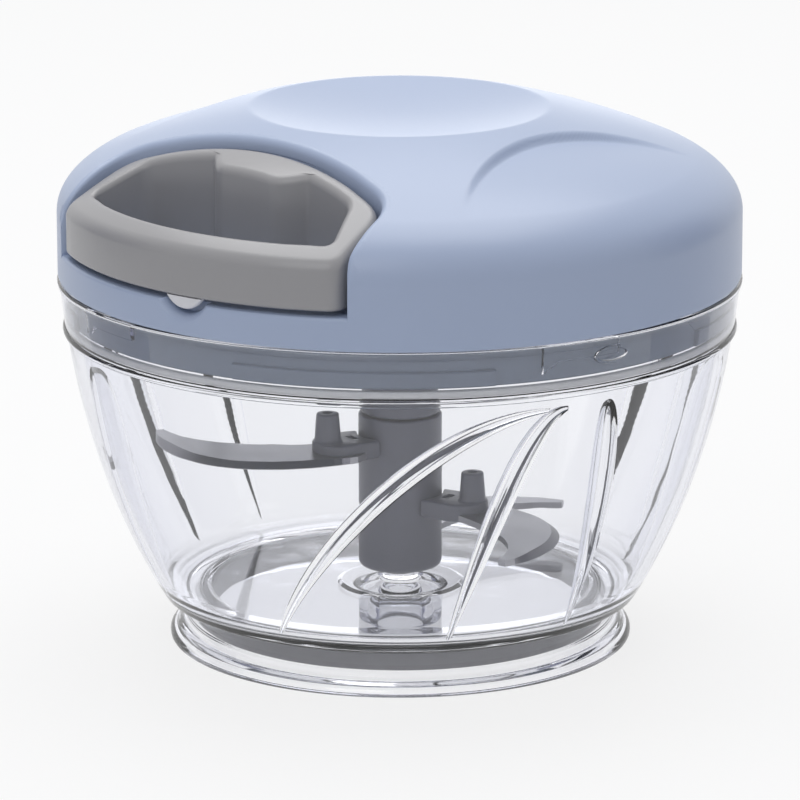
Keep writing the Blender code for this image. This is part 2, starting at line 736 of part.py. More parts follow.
def build_lid_base(material):
    """The underside of the lid: plate, skirt with lugs, top flange and the hub's bearing tube."""
    plate_top = BASE_PLATE_Z + BASE_PLATE
    skirt_inner = BASE_SKIRT_R - BASE_SKIRT_WALL
    flange_low = BOWL_RIM_Z + SEAT_GAP
    flange_high = flange_low + BASE_FLANGE_HEIGHT
    bore = HUB_NECK_R + RUNNING_GAP + BUSH_WALL + SEAT_GAP
    profile = [(bore, BEARING_BOTTOM_Z), (BEARING_R, BEARING_BOTTOM_Z), (BEARING_R + 0.6 * MM, BASE_PLATE_Z)]
    profile += [(skirt_inner, BASE_PLATE_Z), (skirt_inner, BASE_SKIRT_BOTTOM_Z)]
    profile += [(BASE_SKIRT_R, BASE_SKIRT_BOTTOM_Z), (BASE_SKIRT_R, flange_low)]
    profile += [(BASE_SKIRT_R + BASE_FLANGE, flange_low), (BASE_SKIRT_R + BASE_FLANGE, flange_high)]
    profile += [(skirt_inner, flange_high), (skirt_inner, plate_top), (bore, plate_top)]
    base = turned("lid_base", profile, material, FINE_FACETS)
    apply_tool(base, rings("base_lug_stock", lug_bodies()), "UNION")
    hole_r = SCREW_R + RUNNING_GAP
    holes = []
    for azimuth in BOSS_AZIMUTHS:
        centre = polar(BOSS_AT, azimuth)
        holes.append(disc("hole", hole_r, BASE_PLATE_Z - PAST, plate_top + PAST, centre, None, BORE_FACETS))
    for azimuth in EAR_AZIMUTHS:
        centre = polar(EAR_AT, azimuth)
        holes.append(disc("hole", hole_r, BASE_PLATE_Z - PAST, plate_top + PAST, centre, None, BORE_FACETS))
    apply_tool(base, merged("base_hole_tool", holes), "DIFFERENCE")
    return base


def build_seal(material):
    """The silicone ring between the lid's skirt and the ledge inside the bowl."""
    outer = BOWL_RIM_R - BOWL_RIM_WALL - CATCH_DEPTH - RUNNING_GAP
    inner = BASE_SKIRT_R - BASE_SKIRT_WALL
    low = SEAL_LEDGE_Z + SEAT_GAP
    high = BASE_SKIRT_BOTTOM_Z - SEAT_GAP
    middle = (low + high) / 2
    profile = [(outer - SEAL_LIP, low), (outer, middle), (outer - SEAL_LIP, high)]
    profile += [(inner, high), (inner, low)]
    return turned("lid_seal", profile, material, FINE_FACETS)


def dish_points():
    """The shallow round dish in the crown, from its rim in to the centre."""
    rise = dome(DISH_R) - DISH_CENTRE_Z
    shares = (1.0, 0.8, 0.6, 0.4, 0.2, 0.0)
    return [Vector((DISH_R * share, DISH_CENTRE_Z + rise * share * share)) for share in shares]


def dome_points():
    """The lid's outside from the top of its side wall to the rim of the dish."""
    side = Vector((LID_R, SHOULDER_Z))
    seat = Vector((SHOULDER_R, dome(SHOULDER_R)))
    shoulder = curve(side, (LID_R, SHOULDER_Z + (seat.y - side.y) * SHOULDER_FULLNESS), seat, 6)
    count = 6
    sweep = []
    for step in range(1, count):
        radius = SHOULDER_R + (DISH_R + 1.2 * MM - SHOULDER_R) * step / (count - 1)
        sweep.append(Vector((radius, dome(radius))))
    return shoulder + sweep


def cover_bottom():
    """Height of the lid cover's lower edge."""
    return BOWL_RIM_Z + SEAT_GAP


def lid_solid(name, drop=0.0, low=None):
    """The lid's outer form as a full body, lowered by a drop."""
    bottom = cover_bottom() if low is None else low
    profile = [(0.0, bottom), (LID_R, bottom)]
    profile += [(point.x, point.y - drop) for point in dome_points() + dish_points()]
    return turned(name, profile, None, FINE_FACETS)


def scallop_tool(name, grow, drop):
    """The two thumb hollows: upright drums limited below by a sloping floor."""
    drums = []
    for side in (-1.0, 1.0):
        centre = (side * SCALLOP_X, SCALLOP_Y)
        low = SHOULDER_Z - drop
        high = LID_CROWN_Z + PAST * 8
        drums.append(disc("drum", SCALLOP_R + grow, low, high, centre, None, SCALLOP_FACETS))
    cutter = merged(name, drums)
    floor = []
    for step in range(7):
        radius = SCALLOP_OUTER_R + (SCALLOP_INNER_R - 3 * MM - SCALLOP_OUTER_R) * step / 6
        share = min(1.0, max(0.0, (SCALLOP_OUTER_R - radius) / (SCALLOP_OUTER_R - SCALLOP_INNER_R)))
        ease = share * share * (3.0 - 2.0 * share)
        floor.append((radius, dome(radius) + 0.15 * MM - SCALLOP_DEPTH * ease - drop))
    high = LID_CROWN_Z + PAST * 6
    outer = LID_R + PAST * 12
    inner = SCALLOP_INNER_R - PAST * 6
    profile = [(outer, high), (inner, high), (inner, floor[-1][1])]
    profile += floor[::-1]
    profile += [(outer, floor[0][1] + PAST)]
    apply_tool(cutter, turned(name + "_floor", profile, None, FINE_FACETS), "INTERSECT")
    return cutter


def handle_corners():
    """Outer corners of the handle in plan: two at the rear and two at the front."""
    front = polar(HANDLE_FRONT_R, -90.0 + HANDLE_HALF_ANGLE)
    centre_y = HANDLE_REAR_Y - HANDLE_REAR_CURVE
    angle = math.degrees(math.asin(HANDLE_REAR_HALF / HANDLE_REAR_CURVE))
    rear = Vector((0.0, centre_y)) + polar(HANDLE_REAR_CURVE, 90.0 - angle)
    return front, rear, angle


def handle_outline():
    """The handle's outer edge in plan, counter-clockwise from its front left corner."""
    _, _, angle = handle_corners()
    bar = arc((0.0, 0.0), HANDLE_FRONT_R, -90.0 - HANDLE_HALF_ANGLE, -90.0 + HANDLE_HALF_ANGLE, 16)
    back = arc((0.0, HANDLE_REAR_Y - HANDLE_REAR_CURVE), HANDLE_REAR_CURVE, 90.0 - angle, 90.0 + angle, 9)
    corners = bar + back
    radii = [0.0] * len(corners)
    for place in (0, len(bar) - 1):
        radii[place] = 2.5 * MM
    for place in (len(bar), len(corners) - 1):
        radii[place] = HANDLE_CORNER
    return rounded(corners, radii, 4)


def opening_outline():
    """The finger opening in plan, with the cord boss standing into it from the rear."""
    front, rear, _ = handle_corners()
    radius = HANDLE_FRONT_R - HANDLE_BAR
    half = math.degrees(math.asin((front.x - HANDLE_SIDE) / radius))
    bar = arc((0.0, 0.0), radius, -90.0 - half, -90.0 + half, 14)
    inner_curve = HANDLE_REAR_CURVE - HANDLE_BACK
    rear_x = rear.x - HANDLE_SIDE
    centre = (0.0, HANDLE_REAR_Y - HANDLE_REAR_CURVE)
    end = math.degrees(math.asin(rear_x / inner_curve))
    boss = math.degrees(math.asin(CORD_BOSS_HALF / inner_curve))
    right = arc(centre, inner_curve, 90.0 - end, 90.0 - boss, 4)
    left = arc(centre, inner_curve, 90.0 + boss, 90.0 + end, 4)
    face = right[-1].y - CORD_BOSS_DEPTH
    ramp = CORD_BOSS_DEPTH * 0.55
    bulge = [Vector((CORD_BOSS_HALF - ramp, face)), Vector((-CORD_BOSS_HALF + ramp, face))]
    corners = bar + right + bulge + left
    radii = [0.0] * len(corners)
    for place in (0, len(bar) - 1, len(bar), len(corners) - 1):
        radii[place] = 4.0 * MM
    first = len(bar) + len(right)
    for place in (first - 1, first, first + 1, first + 2):
        radii[place] = 2.2 * MM
    return rounded(corners, radii, 3)


def pocket_tool(name, grow, low):
    """The rear of the handle's outline with room around it, carried out past the lid's side."""
    front, rear, _ = handle_corners()
    ahead = (front - rear).normalized()
    past = front + ahead * LID_R * 0.4 + Vector((-ahead.y, ahead.x)) * grow
    rear_points = [p for p in grown(handle_outline(), grow) if p.y > (front.y + rear.y) / 2]
    outline = [Vector((-past.x, past.y)), past] + rear_points
    return prism(name, outline, low, LID_CROWN_Z + PAST * 2)


def build_lid_cover(material):
    """The domed cover with dish, thumb hollows, handle pocket and screw bosses."""
    bottom = cover_bottom()
    cover = lid_solid("lid_cover")
    cover.data.materials.append(material)
    step_z = bottom + BASE_FLANGE_HEIGHT + SEAT_GAP * 2
    inner_r = BASE_SKIRT_R + BASE_FLANGE + SEAT_GAP
    profile = [(0.0, bottom - PAST * 2), (inner_r, bottom - PAST * 2), (inner_r, step_z)]
    profile += [(inner_r - COVER_STEP, step_z)]
    for point in dome_points() + dish_points():
        profile.append((min(point.x, inner_r - COVER_STEP), point.y - COVER_WALL))
    cavity = turned("cover_cavity_tool", profile, None, FINE_FACETS)
    floor_z = HANDLE_BOTTOM_Z - SEAT_GAP
    liner = pocket_tool("pocket_wall_tool", SLIDE_GAP + POCKET_WALL, floor_z - POCKET_WALL)
    apply_tool(cavity, liner, "DIFFERENCE")
    apply_tool(cavity, scallop_tool("scallop_back_tool", COVER_WALL, COVER_WALL), "DIFFERENCE")
    bosses = []
    bores = []
    boss_low = BASE_PLATE_Z + BASE_PLATE + SEAT_GAP
    bore_r = SCREW_R + RUNNING_GAP
    for azimuth in BOSS_AZIMUTHS:
        centre = polar(BOSS_AT, azimuth)
        bosses.append(disc("boss", BOSS_R, boss_low, LID_CROWN_Z, centre, None, SMALL_FACETS))
        bore_top = boss_low + SCREW_LENGTH
        bores.append(disc("bore", bore_r, boss_low - PAST, bore_top, centre, None, BORE_FACETS))
    apply_tool(cover, cavity, "DIFFERENCE")
    dome_stock = lid_solid("boss_limit_tool", COVER_WALL / 2, boss_low - 2 * MM)
    boss_stock = merged("cover_boss_stock", bosses)
    apply_tool(boss_stock, dome_stock, "INTERSECT")
    apply_tool(cover, boss_stock, "UNION")
    apply_tool(cover, merged("boss_bore_tool", bores), "DIFFERENCE")
    apply_tool(cover, pocket_tool("pocket_tool", SLIDE_GAP, floor_z), "DIFFERENCE")
    apply_tool(cover, scallop_tool("scallop_tool", 0.0, 0.0), "DIFFERENCE")
    rear = HANDLE_REAR_Y + SLIDE_GAP
    hole_r = EYELET_R + SEAT_GAP
    hole = crossbar("eyelet_hole", hole_r, (0.0, CORD_Z), rear - PAST * 2, rear + POCKET_WALL + PAST * 2)
    tab_z = HANDLE_BOTTOM_Z + TAB_R - TAB_DROP
    notch_end = TAB_SET_BACK - HANDLE_FRONT_R + TAB_THICKNESS + SLIDE_GAP
    notch = crossbar("tab_notch", TAB_R + TAB_ROOM, (0.0, tab_z), -LID_R - PAST * 2, notch_end)
    apply_tool(cover, merged("cover_hole_tool", [hole, notch]), "DIFFERENCE")
    return cover


def build_handle(material):
    """The ring-shaped pull handle with its cord boss and the small tab under its front bar."""
    handle = prism("pull_handle", handle_outline(), HANDLE_BOTTOM_Z, LID_CROWN_Z + PAST, material)
    form = lid_solid("handle_form_tool", HANDLE_SINK, HANDLE_BOTTOM_Z - PAST * 4)
    apply_tool(handle, form, "INTERSECT")
    low = HANDLE_BOTTOM_Z - PAST * 2
    opening = prism("finger_opening_tool", opening_outline(), low, LID_CROWN_Z + PAST * 2)
    apply_tool(handle, opening, "DIFFERENCE")
    tab_z = HANDLE_BOTTOM_Z + TAB_R - TAB_DROP
    tab_y = TAB_SET_BACK - HANDLE_FRONT_R
    tab = crossbar("handle_tab_stock", TAB_R, (0.0, tab_z), tab_y, tab_y + TAB_THICKNESS)
    apply_tool(handle, tab, "UNION")
    hole = crossbar("cord_hole", CORD_R + CORD_ROOM, (0.0, CORD_Z), knot_y(), HANDLE_REAR_Y + PAST * 2)
    half = KNOT_R + KNOT_ROOM
    front = knot_y() - KNOT_R - RUNNING_GAP
    back = knot_y() + KNOT_R + RUNNING_GAP
    corners = [Vector((-half, front)), Vector((half, front)), Vector((half, back)), Vector((-half, back))]
    slot = prism("knot_slot", corners, low, CORD_Z + KNOT_SLOT_TOP)
    apply_tool(handle, slot, "DIFFERENCE")
    apply_tool(handle, hole, "DIFFERENCE")
    return handle


def knot_y():
    """Where the knot sits along Y, in the middle of the handle's cord boss."""
    return HANDLE_REAR_Y - (HANDLE_BACK + CORD_BOSS_DEPTH) / 2


def mouth_y():
    """Where the eyelet's inner mouth lies along Y."""
    return HANDLE_REAR_Y + SLIDE_GAP + POCKET_WALL + SEAT_GAP + EYELET_FLANGE


def run_ends():
    """The two ends of the cord's run, from where it leaves the winding to the eyelet."""
    reach = WINDING_R + SEAT_GAP + CORD_R
    lean = math.asin(reach / -mouth_y())
    start = Vector((-reach * math.cos(lean), -reach * math.sin(lean), CORD_Z))
    end = Vector((0.0, mouth_y() + 0.5 * MM, CORD_Z))
    return start, end


def build_cord(material):
    """The cord: its winding on the drum, the run to the eyelet, the lead to the handle and its knot."""
    low = DRUM_BOTTOM_Z + RUNNING_GAP
    high = DRUM_BOTTOM_Z + DRUM_WIDTH - RUNNING_GAP
    inner = DRUM_R + SEAT_GAP
    profile = [(inner, low), (WINDING_R, low), (WINDING_R, high), (inner, high)]
    winding = turned("cord_winding", profile, material, ROUND_FACETS)
    start, end = run_ends()
    ahead = (end - start).normalized()
    run = tube("cord_run", [start, start.lerp(end, 0.5), end - ahead * CORD_R * 0.8], CORD_R, material)
    tail = knot_y() + KNOT_R + SEAT_GAP
    lead = tube("cord_lead", [(0.0, mouth_y() - 0.4 * MM, CORD_Z), (0.0, tail, CORD_Z)], CORD_R, material)
    builder = bmesh.new()
    bmesh.ops.create_uvsphere(builder, u_segments=12, v_segments=8, radius=KNOT_R)
    bmesh.ops.scale(builder, vec=(1.15, 0.9, 1.0), verts=builder.verts)
    bmesh.ops.translate(builder, vec=(0.0, knot_y(), CORD_Z), verts=builder.verts)
    knot = add_object("cord_knot", builder, material)
    return winding, run, lead, knot


def build_eyelet(material):
    """The flanged eyelet that the cord runs through in the pocket's rear wall."""
    front = HANDLE_REAR_Y + SLIDE_GAP + 0.1 * MM
    seat = HANDLE_REAR_Y + SLIDE_GAP + POCKET_WALL + SEAT_GAP
    bore = CORD_R + RUNNING_GAP
    profile = [(bore, front), (EYELET_R, front), (EYELET_R, seat), (EYELET_FLANGE_R, seat)]
    profile += [(EYELET_FLANGE_R, seat + EYELET_FLANGE), (bore + EYELET_MOUTH, seat + EYELET_FLANGE)]
    profile += [(bore, seat + EYELET_FLANGE - EYELET_MOUTH)]
    eyelet = turned("cord_eyelet", profile, material, SMALL_FACETS)
    eyelet.data.transform(Matrix.Rotation(math.radians(-90.0), 4, "X"))
    eyelet.data.transform(Matrix.Translation((0.0, 0.0, CORD_Z)))
    return eyelet


def build_spool(material):
    """The drum that the cord winds on, with ratchet teeth below and the spring's arbor above."""
    bore = AXLE_R + RUNNING_GAP
    low = DRUM_BOTTOM_Z - DRUM_FLANGE
    high = DRUM_BOTTOM_Z + DRUM_WIDTH + DRUM_FLANGE
    tooth_r = PAWL_TIP_R + RATCHET_TOOTH + RATCHET_ROOM
    arbor_top = HOUSING_TOP_Z + SEAT_GAP + CASE_HEIGHT - ARBOR_DROP
    web = RATCHET_Z + PAWL_THICKNESS + RATCHET_HEADROOM
    profile = [(bore, web), (tooth_r, web)]
    profile += [(tooth_r, RATCHET_Z), (tooth_r + RATCHET_WALL, RATCHET_Z), (tooth_r + RATCHET_WALL, low)]
    profile += [(DRUM_FLANGE_R, low), (DRUM_FLANGE_R, low + DRUM_FLANGE), (DRUM_R, low + DRUM_FLANGE)]
    profile += [(DRUM_R, high - DRUM_FLANGE), (DRUM_FLANGE_R, high - DRUM_FLANGE), (DRUM_FLANGE_R, high)]
    profile += [(ARBOR_R, high), (ARBOR_R, arbor_top), (bore, arbor_top)]
    spool = turned("spool", profile, material, ROUND_FACETS)
    teeth = []
    for index in range(RATCHET_TEETH):
        turn = 360.0 / RATCHET_TEETH * index
        root_r = tooth_r + RATCHET_WALL / 3
        wedge = [polar(root_r, turn - TOOTH_SWEEP), polar(root_r, turn)]
        wedge += [polar(tooth_r - RATCHET_TOOTH, turn)]
        teeth.append(prism("tooth", wedge, RATCHET_Z + TOOTH_LIFT, web + TOOTH_LIFT))
    apply_tool(spool, merged("ratchet_tooth_stock", teeth), "UNION")
    return spool


def build_hub(material):
    """The drive hub: dogs below for the rotor, a collar, the neck in its bush and a seat for the pawls."""
    bottom = SHAFT_TOP_Z - SOCKET_DEPTH + HUB_FOOT_GAP
    seam = SHAFT_TOP_Z + SEAT_GAP
    neck = BEARING_BOTTOM_Z - BUSH_FLANGE - SEAT_GAP - RUNNING_GAP
    plate_top = RATCHET_Z
    bore = AXLE_R + RUNNING_GAP
    hub_top = plate_top + PAWL_THICKNESS + CLIP_THICKNESS + HUB_END
    profile = [(0.0, seam), (HUB_COLLAR_R - 0.5 * MM, seam), (HUB_COLLAR_R, seam + 0.6 * MM)]
    profile += [(HUB_COLLAR_R, seam + HUB_COLLAR), (HUB_R, seam + HUB_COLLAR + 0.5 * MM), (HUB_R, neck)]
    profile += [(HUB_NECK_R, neck), (HUB_NECK_R, plate_top), (HUB_SPLINE_R, plate_top)]
    profile += [(HUB_SPLINE_R, hub_top), (bore, hub_top), (bore, AXLE_BOTTOM_Z - AXLE_ROOM)]
    profile += [(0.0, AXLE_BOTTOM_Z - AXLE_ROOM)]
    hub = turned("drive_hub", profile, material)
    outline = lobed(HUB_SPIGOT_CORE_R, SOCKET_R - 0.4 * MM, 2, HUB_DOG_SWEEP, 0.0)
    spigot = prism("hub_spigot_stock", outline, bottom, seam + 1.0 * MM)
    apply_tool(hub, spigot, "UNION")
    return hub


def build_bush(material):
    """The plain bearing bush between the hub's neck and the lid base."""
    inner = HUB_NECK_R + RUNNING_GAP
    outer = inner + BUSH_WALL
    seat = BEARING_BOTTOM_Z - SEAT_GAP
    top = BASE_PLATE_Z + BASE_PLATE
    flange = BEARING_R - BUSH_SETBACK
    profile = [(inner, seat - BUSH_FLANGE), (flange, seat - BUSH_FLANGE), (flange, seat)]
    profile += [(outer, seat), (outer, top), (inner, top)]
    return turned("hub_bush", profile, material, SMALL_FACETS * 2)


def build_pawl_plate(material):
    """The pawl plate on the top of the hub: its two tips catch the drum's ratchet one way."""
    low = RATCHET_Z + RUNNING_GAP
    outline = lobed(PAWL_R, PAWL_TIP_R, 2, PAWL_SWEEP, 15.0)
    plate = prism("pawl_plate", outline, low, low + PAWL_THICKNESS, material)
    hole = disc("pawl_hole_tool", HUB_SPLINE_R + SEAT_GAP, low - 1 * MM, low + PAWL_THICKNESS + 1 * MM)
    apply_tool(plate, hole, "DIFFERENCE")
    return plate


def build_clip(material):
    """The spring clip that keeps the pawl plate and the hub together."""
    low = RATCHET_Z + RUNNING_GAP + PAWL_THICKNESS + SEAT_GAP
    inner = HUB_SPLINE_R + SEAT_GAP
    outline = arc((0.0, 0.0), CLIP_R, 40.0, 320.0, 20) + arc((0.0, 0.0), inner, 320.0, 40.0, 20)
    return prism("hub_clip", outline, low, low + CLIP_THICKNESS, material)


def build_axle(material):
    """The steel axle pin that the drum and the hub turn on."""
    top = WORKS_TOP_Z
    chamfer = 0.4 * MM
    profile = [(0.0, AXLE_BOTTOM_Z), (AXLE_R - chamfer, AXLE_BOTTOM_Z), (AXLE_R, AXLE_BOTTOM_Z + chamfer)]
    profile += [(AXLE_R, top - chamfer), (AXLE_R - chamfer, top), (0.0, top)]
    return turned("axle_pin", profile, material, SMALL_FACETS)


def build_housing(material):
    """The round housing of the drum, standing on the lid base with three screw ears."""
    low = BASE_PLATE_Z + BASE_PLATE + SEAT_GAP
    inner = HOUSING_R - HOUSING_WALL
    profile = [(HOUSING_R, low), (HOUSING_R, HOUSING_TOP_Z), (inner, HOUSING_TOP_Z), (inner, low)]
    housing = turned("spool_housing", profile, material)
    bore_r = SCREW_R + RUNNING_GAP
    ears = []
    bores = []
    for azimuth in EAR_AZIMUTHS:
        centre = polar(EAR_AT, azimuth)
        ears.append(disc("ear", EAR_R, low, low + EAR_THICKNESS, centre, None, SMALL_FACETS))
        bores.append(disc("bore", bore_r, low - PAST, low + EAR_THICKNESS + PAST, centre, None, BORE_FACETS))
    ear_stock = merged("housing_ear_stock", ears)
    inside = inner + HOUSING_WALL / 2
    limit = disc("ear_limit_tool", inside, low - PAST, HOUSING_TOP_Z, (0.0, 0.0), None, ROUND_FACETS)
    apply_tool(ear_stock, limit, "DIFFERENCE")
    apply_tool(housing, ear_stock, "UNION")
    start, end = run_ends()
    crossing = start.lerp(end, (start.y + HOUSING_R - HOUSING_WALL / 2) / (start.y - end.y))
    front = -HOUSING_R - PAST * 3
    window = crossbar("cord_window_tool", HOUSING_WINDOW_R, (crossing.x, CORD_Z), front, -HOUSING_R * 0.6)
    apply_tool(housing, window, "DIFFERENCE")
    apply_tool(housing, merged("ear_bore_tool", bores), "DIFFERENCE")
    return housing


def build_spring_case(material):
    """The round case on top of the housing that holds the return spring."""
    low = HOUSING_TOP_Z + SEAT_GAP
    outer = HOUSING_R
    inner = outer - CASE_WALL
    hole = ARBOR_R + RUNNING_GAP + 0.3 * MM
    profile = [(hole, low), (outer, low), (outer, low + CASE_HEIGHT), (inner, low + CASE_HEIGHT)]
    profile += [(inner, low + CASE_FLOOR), (hole, low + CASE_FLOOR)]
    return turned("spring_case", profile, material)


def build_spring_cover(material):
    """The thin round cover of the spring case, which holds the axle's upper end."""
    low = HOUSING_TOP_Z + SEAT_GAP + CASE_HEIGHT + SEAT_GAP
    bore = AXLE_R + SEAT_GAP
    profile = [(bore, low), (HOUSING_R, low), (HOUSING_R, low + CASE_LID), (bore, low + CASE_LID)]
    return turned("spring_cover", profile, material)


def build_mainspring(material):
    """The flat spiral spring that winds the cord back in."""
    low = HOUSING_TOP_Z + SEAT_GAP + CASE_FLOOR + RUNNING_GAP
    high = HOUSING_TOP_Z + SEAT_GAP + CASE_HEIGHT - RUNNING_GAP
    start = ARBOR_R + RUNNING_GAP
    end = HOUSING_R - CASE_WALL - SPRING_STRIP - RUNNING_GAP
    sections = []
    total = SPRING_TURNS * SPRING_STATIONS
    for step in range(total + 1):
        turn = 360.0 * step / SPRING_STATIONS
        radius = start + (end - start) * step / total
        near = polar(radius, turn)
        far = polar(radius + SPRING_STRIP, turn)
        ring = [(near.x, near.y, low), (far.x, far.y, low), (far.x, far.y, high), (near.x, near.y, high)]
        sections.append(ring)
    return rings("mainspring", [sections], material)


def build_screw(name, centre, seat, length, material, upward=1.0):
    """A pan-head screw whose head bears on a face and whose shank points up or down."""
    head = seat - upward * SCREW_HEAD
    tip = seat + upward * length
    profile = [(0.0, head), (SCREW_HEAD_R * 0.7, head), (SCREW_HEAD_R, head + upward * SCREW_HEAD * 0.5)]
    profile += [(SCREW_HEAD_R, seat), (SCREW_R, seat), (SCREW_R, tip - upward * 0.8 * MM)]
    profile += [(SCREW_R * 0.4, tip), (0.0, tip)]
    screw = turned(name, profile, material, 12)
    screw.data.transform(Matrix.Translation((centre.x, centre.y, 0.0)))
    return screw


def build_screws(material):
    """Three screws that close the lid and three that hold the drum's housing."""
    seat = BASE_PLATE_Z - SEAT_GAP
    names = ("rear", "left", "right")
    for name, azimuth in zip(names, BOSS_AZIMUTHS):
        build_screw("cover_screw_" + name, polar(BOSS_AT, azimuth), seat, SCREW_LENGTH, material)
    for name, azimuth in zip(names, EAR_AZIMUTHS):
        build_screw("housing_screw_" + name, polar(EAR_AT, azimuth), seat, HOUSING_SCREW_LENGTH, material)


def pivot(name, location, children):
    """An empty on a joint's axis that carries the pieces that move on it."""
    empty = bpy.data.objects.new(name, None)
    empty.location = location
    bpy.context.scene.collection.objects.link(empty)
    for child in children:
        child.parent = empty
        child.matrix_parent_inverse = Matrix.Translation(-Vector(location))
    return empty


def main():
    """Build every piece in place and group the moving ones on their axes."""
    clear_scene()
    clear = plastic("clear_plastic", (0.93, 0.94, 0.97), 0.05, 0.0, 0.3)
    blue = plastic("blue_plastic", (0.49, 0.56, 0.70), 0.35)
    slate = plastic("slate_plastic", (0.22, 0.26, 0.36), 0.4)
    grey = plastic("grey_plastic", (0.42, 0.42, 0.44), 0.4)
    rotor_grey = plastic("rotor_plastic", (0.15, 0.16, 0.20), 0.45)
    white = plastic("white_plastic", (0.78, 0.78, 0.76), 0.4)
    steel = plastic("steel", (0.60, 0.60, 0.62), 0.3, 1.0)
    soft = plastic("soft_rubber", (0.45, 0.46, 0.50), 0.7)
    silicone = plastic("silicone", (0.75, 0.76, 0.78), 0.6)
    cord = plastic("cord_fibre", (0.80, 0.80, 0.80), 0.8)

    build_bowl(clear)
    build_nonslip_ring(soft)
    rotor = [build_shaft(rotor_grey)]
    for index in range(len(BLADE_NAMES)):
        rotor.append(build_blade(index, steel))
        rotor.append(build_blade_root(index, rotor_grey))
    pivot("rotor_axis", (0.0, 0.0, SHAFT_BOTTOM_Z), rotor)

    build_lid_base(slate)
    build_seal(silicone)
    build_lid_cover(blue)
    build_bush(white)
    build_housing(white)
    build_spring_case(white)
    build_spring_cover(white)
    build_mainspring(steel)
    build_axle(steel)
    build_eyelet(white)
    build_screws(steel)

    winding, _, lead, knot = build_cord(cord)
    pivot("drum_axis", (0.0, 0.0, RATCHET_Z), [build_spool(white), winding])
    drive = [build_hub(rotor_grey), build_pawl_plate(white), build_clip(steel)]
    pivot("hub_axis", (0.0, 0.0, SHAFT_TOP_Z), drive)
    pivot("pull_axis", (0.0, HANDLE_REAR_Y, CORD_Z), [build_handle(grey), lead, knot])


main()
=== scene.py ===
"""Finished surfaces, studio and camera for a pull-cord food chopper.

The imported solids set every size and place. Here the visible pieces get fine surfaces and real
finishes: a clear ribbed bowl, a satin blue lid with its pocket, a grey ring handle, a rotor with
three ground blades, and the small parts under the lid. Sizes are in millimetres until a mesh is
made, and every finished piece sits at the origin.
"""

import logging
import math
from dataclasses import dataclass, field
from enum import Enum
from typing import Any, Iterable, Mapping, Sequence

import bpy
from mathutils import Matrix, Vector


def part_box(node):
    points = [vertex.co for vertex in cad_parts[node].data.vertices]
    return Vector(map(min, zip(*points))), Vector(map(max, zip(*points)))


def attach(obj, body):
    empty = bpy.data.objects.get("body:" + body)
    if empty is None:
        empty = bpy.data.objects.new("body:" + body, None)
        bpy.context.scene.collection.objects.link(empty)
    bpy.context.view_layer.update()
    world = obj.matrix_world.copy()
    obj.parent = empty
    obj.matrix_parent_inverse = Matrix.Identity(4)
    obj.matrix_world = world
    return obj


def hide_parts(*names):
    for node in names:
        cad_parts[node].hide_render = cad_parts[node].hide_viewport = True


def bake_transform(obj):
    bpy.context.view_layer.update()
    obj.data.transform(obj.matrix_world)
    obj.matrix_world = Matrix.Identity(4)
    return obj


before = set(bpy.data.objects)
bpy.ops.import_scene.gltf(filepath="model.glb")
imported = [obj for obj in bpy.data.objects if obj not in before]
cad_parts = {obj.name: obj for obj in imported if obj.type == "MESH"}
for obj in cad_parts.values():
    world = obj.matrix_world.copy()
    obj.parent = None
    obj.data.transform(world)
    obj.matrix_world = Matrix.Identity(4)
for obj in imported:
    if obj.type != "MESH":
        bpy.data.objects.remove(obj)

log = logging.getLogger("chopper")

# Metres in a millimetre
MM = 0.001
# Share of a side that the rounding of one corner may take
MOST_OF_SIDE = 0.45
# Points nearer to the Y axis than this, in millimetres, count as on it
ON_AXIS = 1e-4

Point2 = tuple[float, float]
Point3 = tuple[float, float, float]
Colour = tuple[float, float, float]


class Cut(Enum):
    """How one solid acts on another."""

    REMOVE = "DIFFERENCE"
    JOIN = "UNION"


# plan geometry


def polar(radius: float, degrees: float, height: float = 0.0) -> Vector:
    """Place a point by radius, azimuth and height.

    Args:
        radius: Distance from the axis.
        degrees: Azimuth, counter-clockwise from +X.
        height: Height of the point.

    Returns:
        The point.
    """
    angle = math.radians(degrees)
    return Vector((radius * math.cos(angle), radius * math.sin(angle), height))


def level(outline: Iterable[Sequence[float]], height: float = 0.0) -> list[Vector]:
    """Lay a plan outline at one height."""
    return [Vector((point[0], point[1], height)) for point in outline]


def near(base: Sequence[float], *shifts: Point2) -> list[Point2]:
    """Place points by their distance from a base point."""
    return [(base[0] + right, base[1] + up) for right, up in shifts]


def oblong(left: float, right: float, low: float, high: float) -> list[Point2]:
    """Draw a rectangle, counter-clockwise from its lower left corner."""
    return [(left, low), (right, low), (right, high), (left, high)]


def bend(
    first: Sequence[float], control: Sequence[float], last: Sequence[float], steps: int
) -> list[Vector]:
    """Sample a curve that leaves and arrives along its control point.

    Args:
        first: Start.
        control: Control point.
        last: End.
        steps: Number of stretches.

    Returns:
        The points, both ends included.
    """
    start, middle, end = Vector(first), Vector(control), Vector(last)
    points = []
    for step in range(steps + 1):
        t = step / steps
        points.append(start * (1 - t) ** 2 + middle * (2 * t * (1 - t)) + end * (t * t))
    return points


def sweep(
    centre: Sequence[float], radius: float, start: float, end: float, steps: int
) -> list[Vector]:
    """Sample an arc in plan.

    Args:
        centre: Centre of the arc.
        radius: Its radius.
        start: First azimuth in degrees.
        end: Last azimuth in degrees.
        steps: Number of stretches.

    Returns:
        The points, both ends included.
    """
    middle = Vector((centre[0], centre[1], 0.0))
    angles = [start + (end - start) * step / steps for step in range(steps + 1)]
    return [middle + polar(radius, angle) for angle in angles]


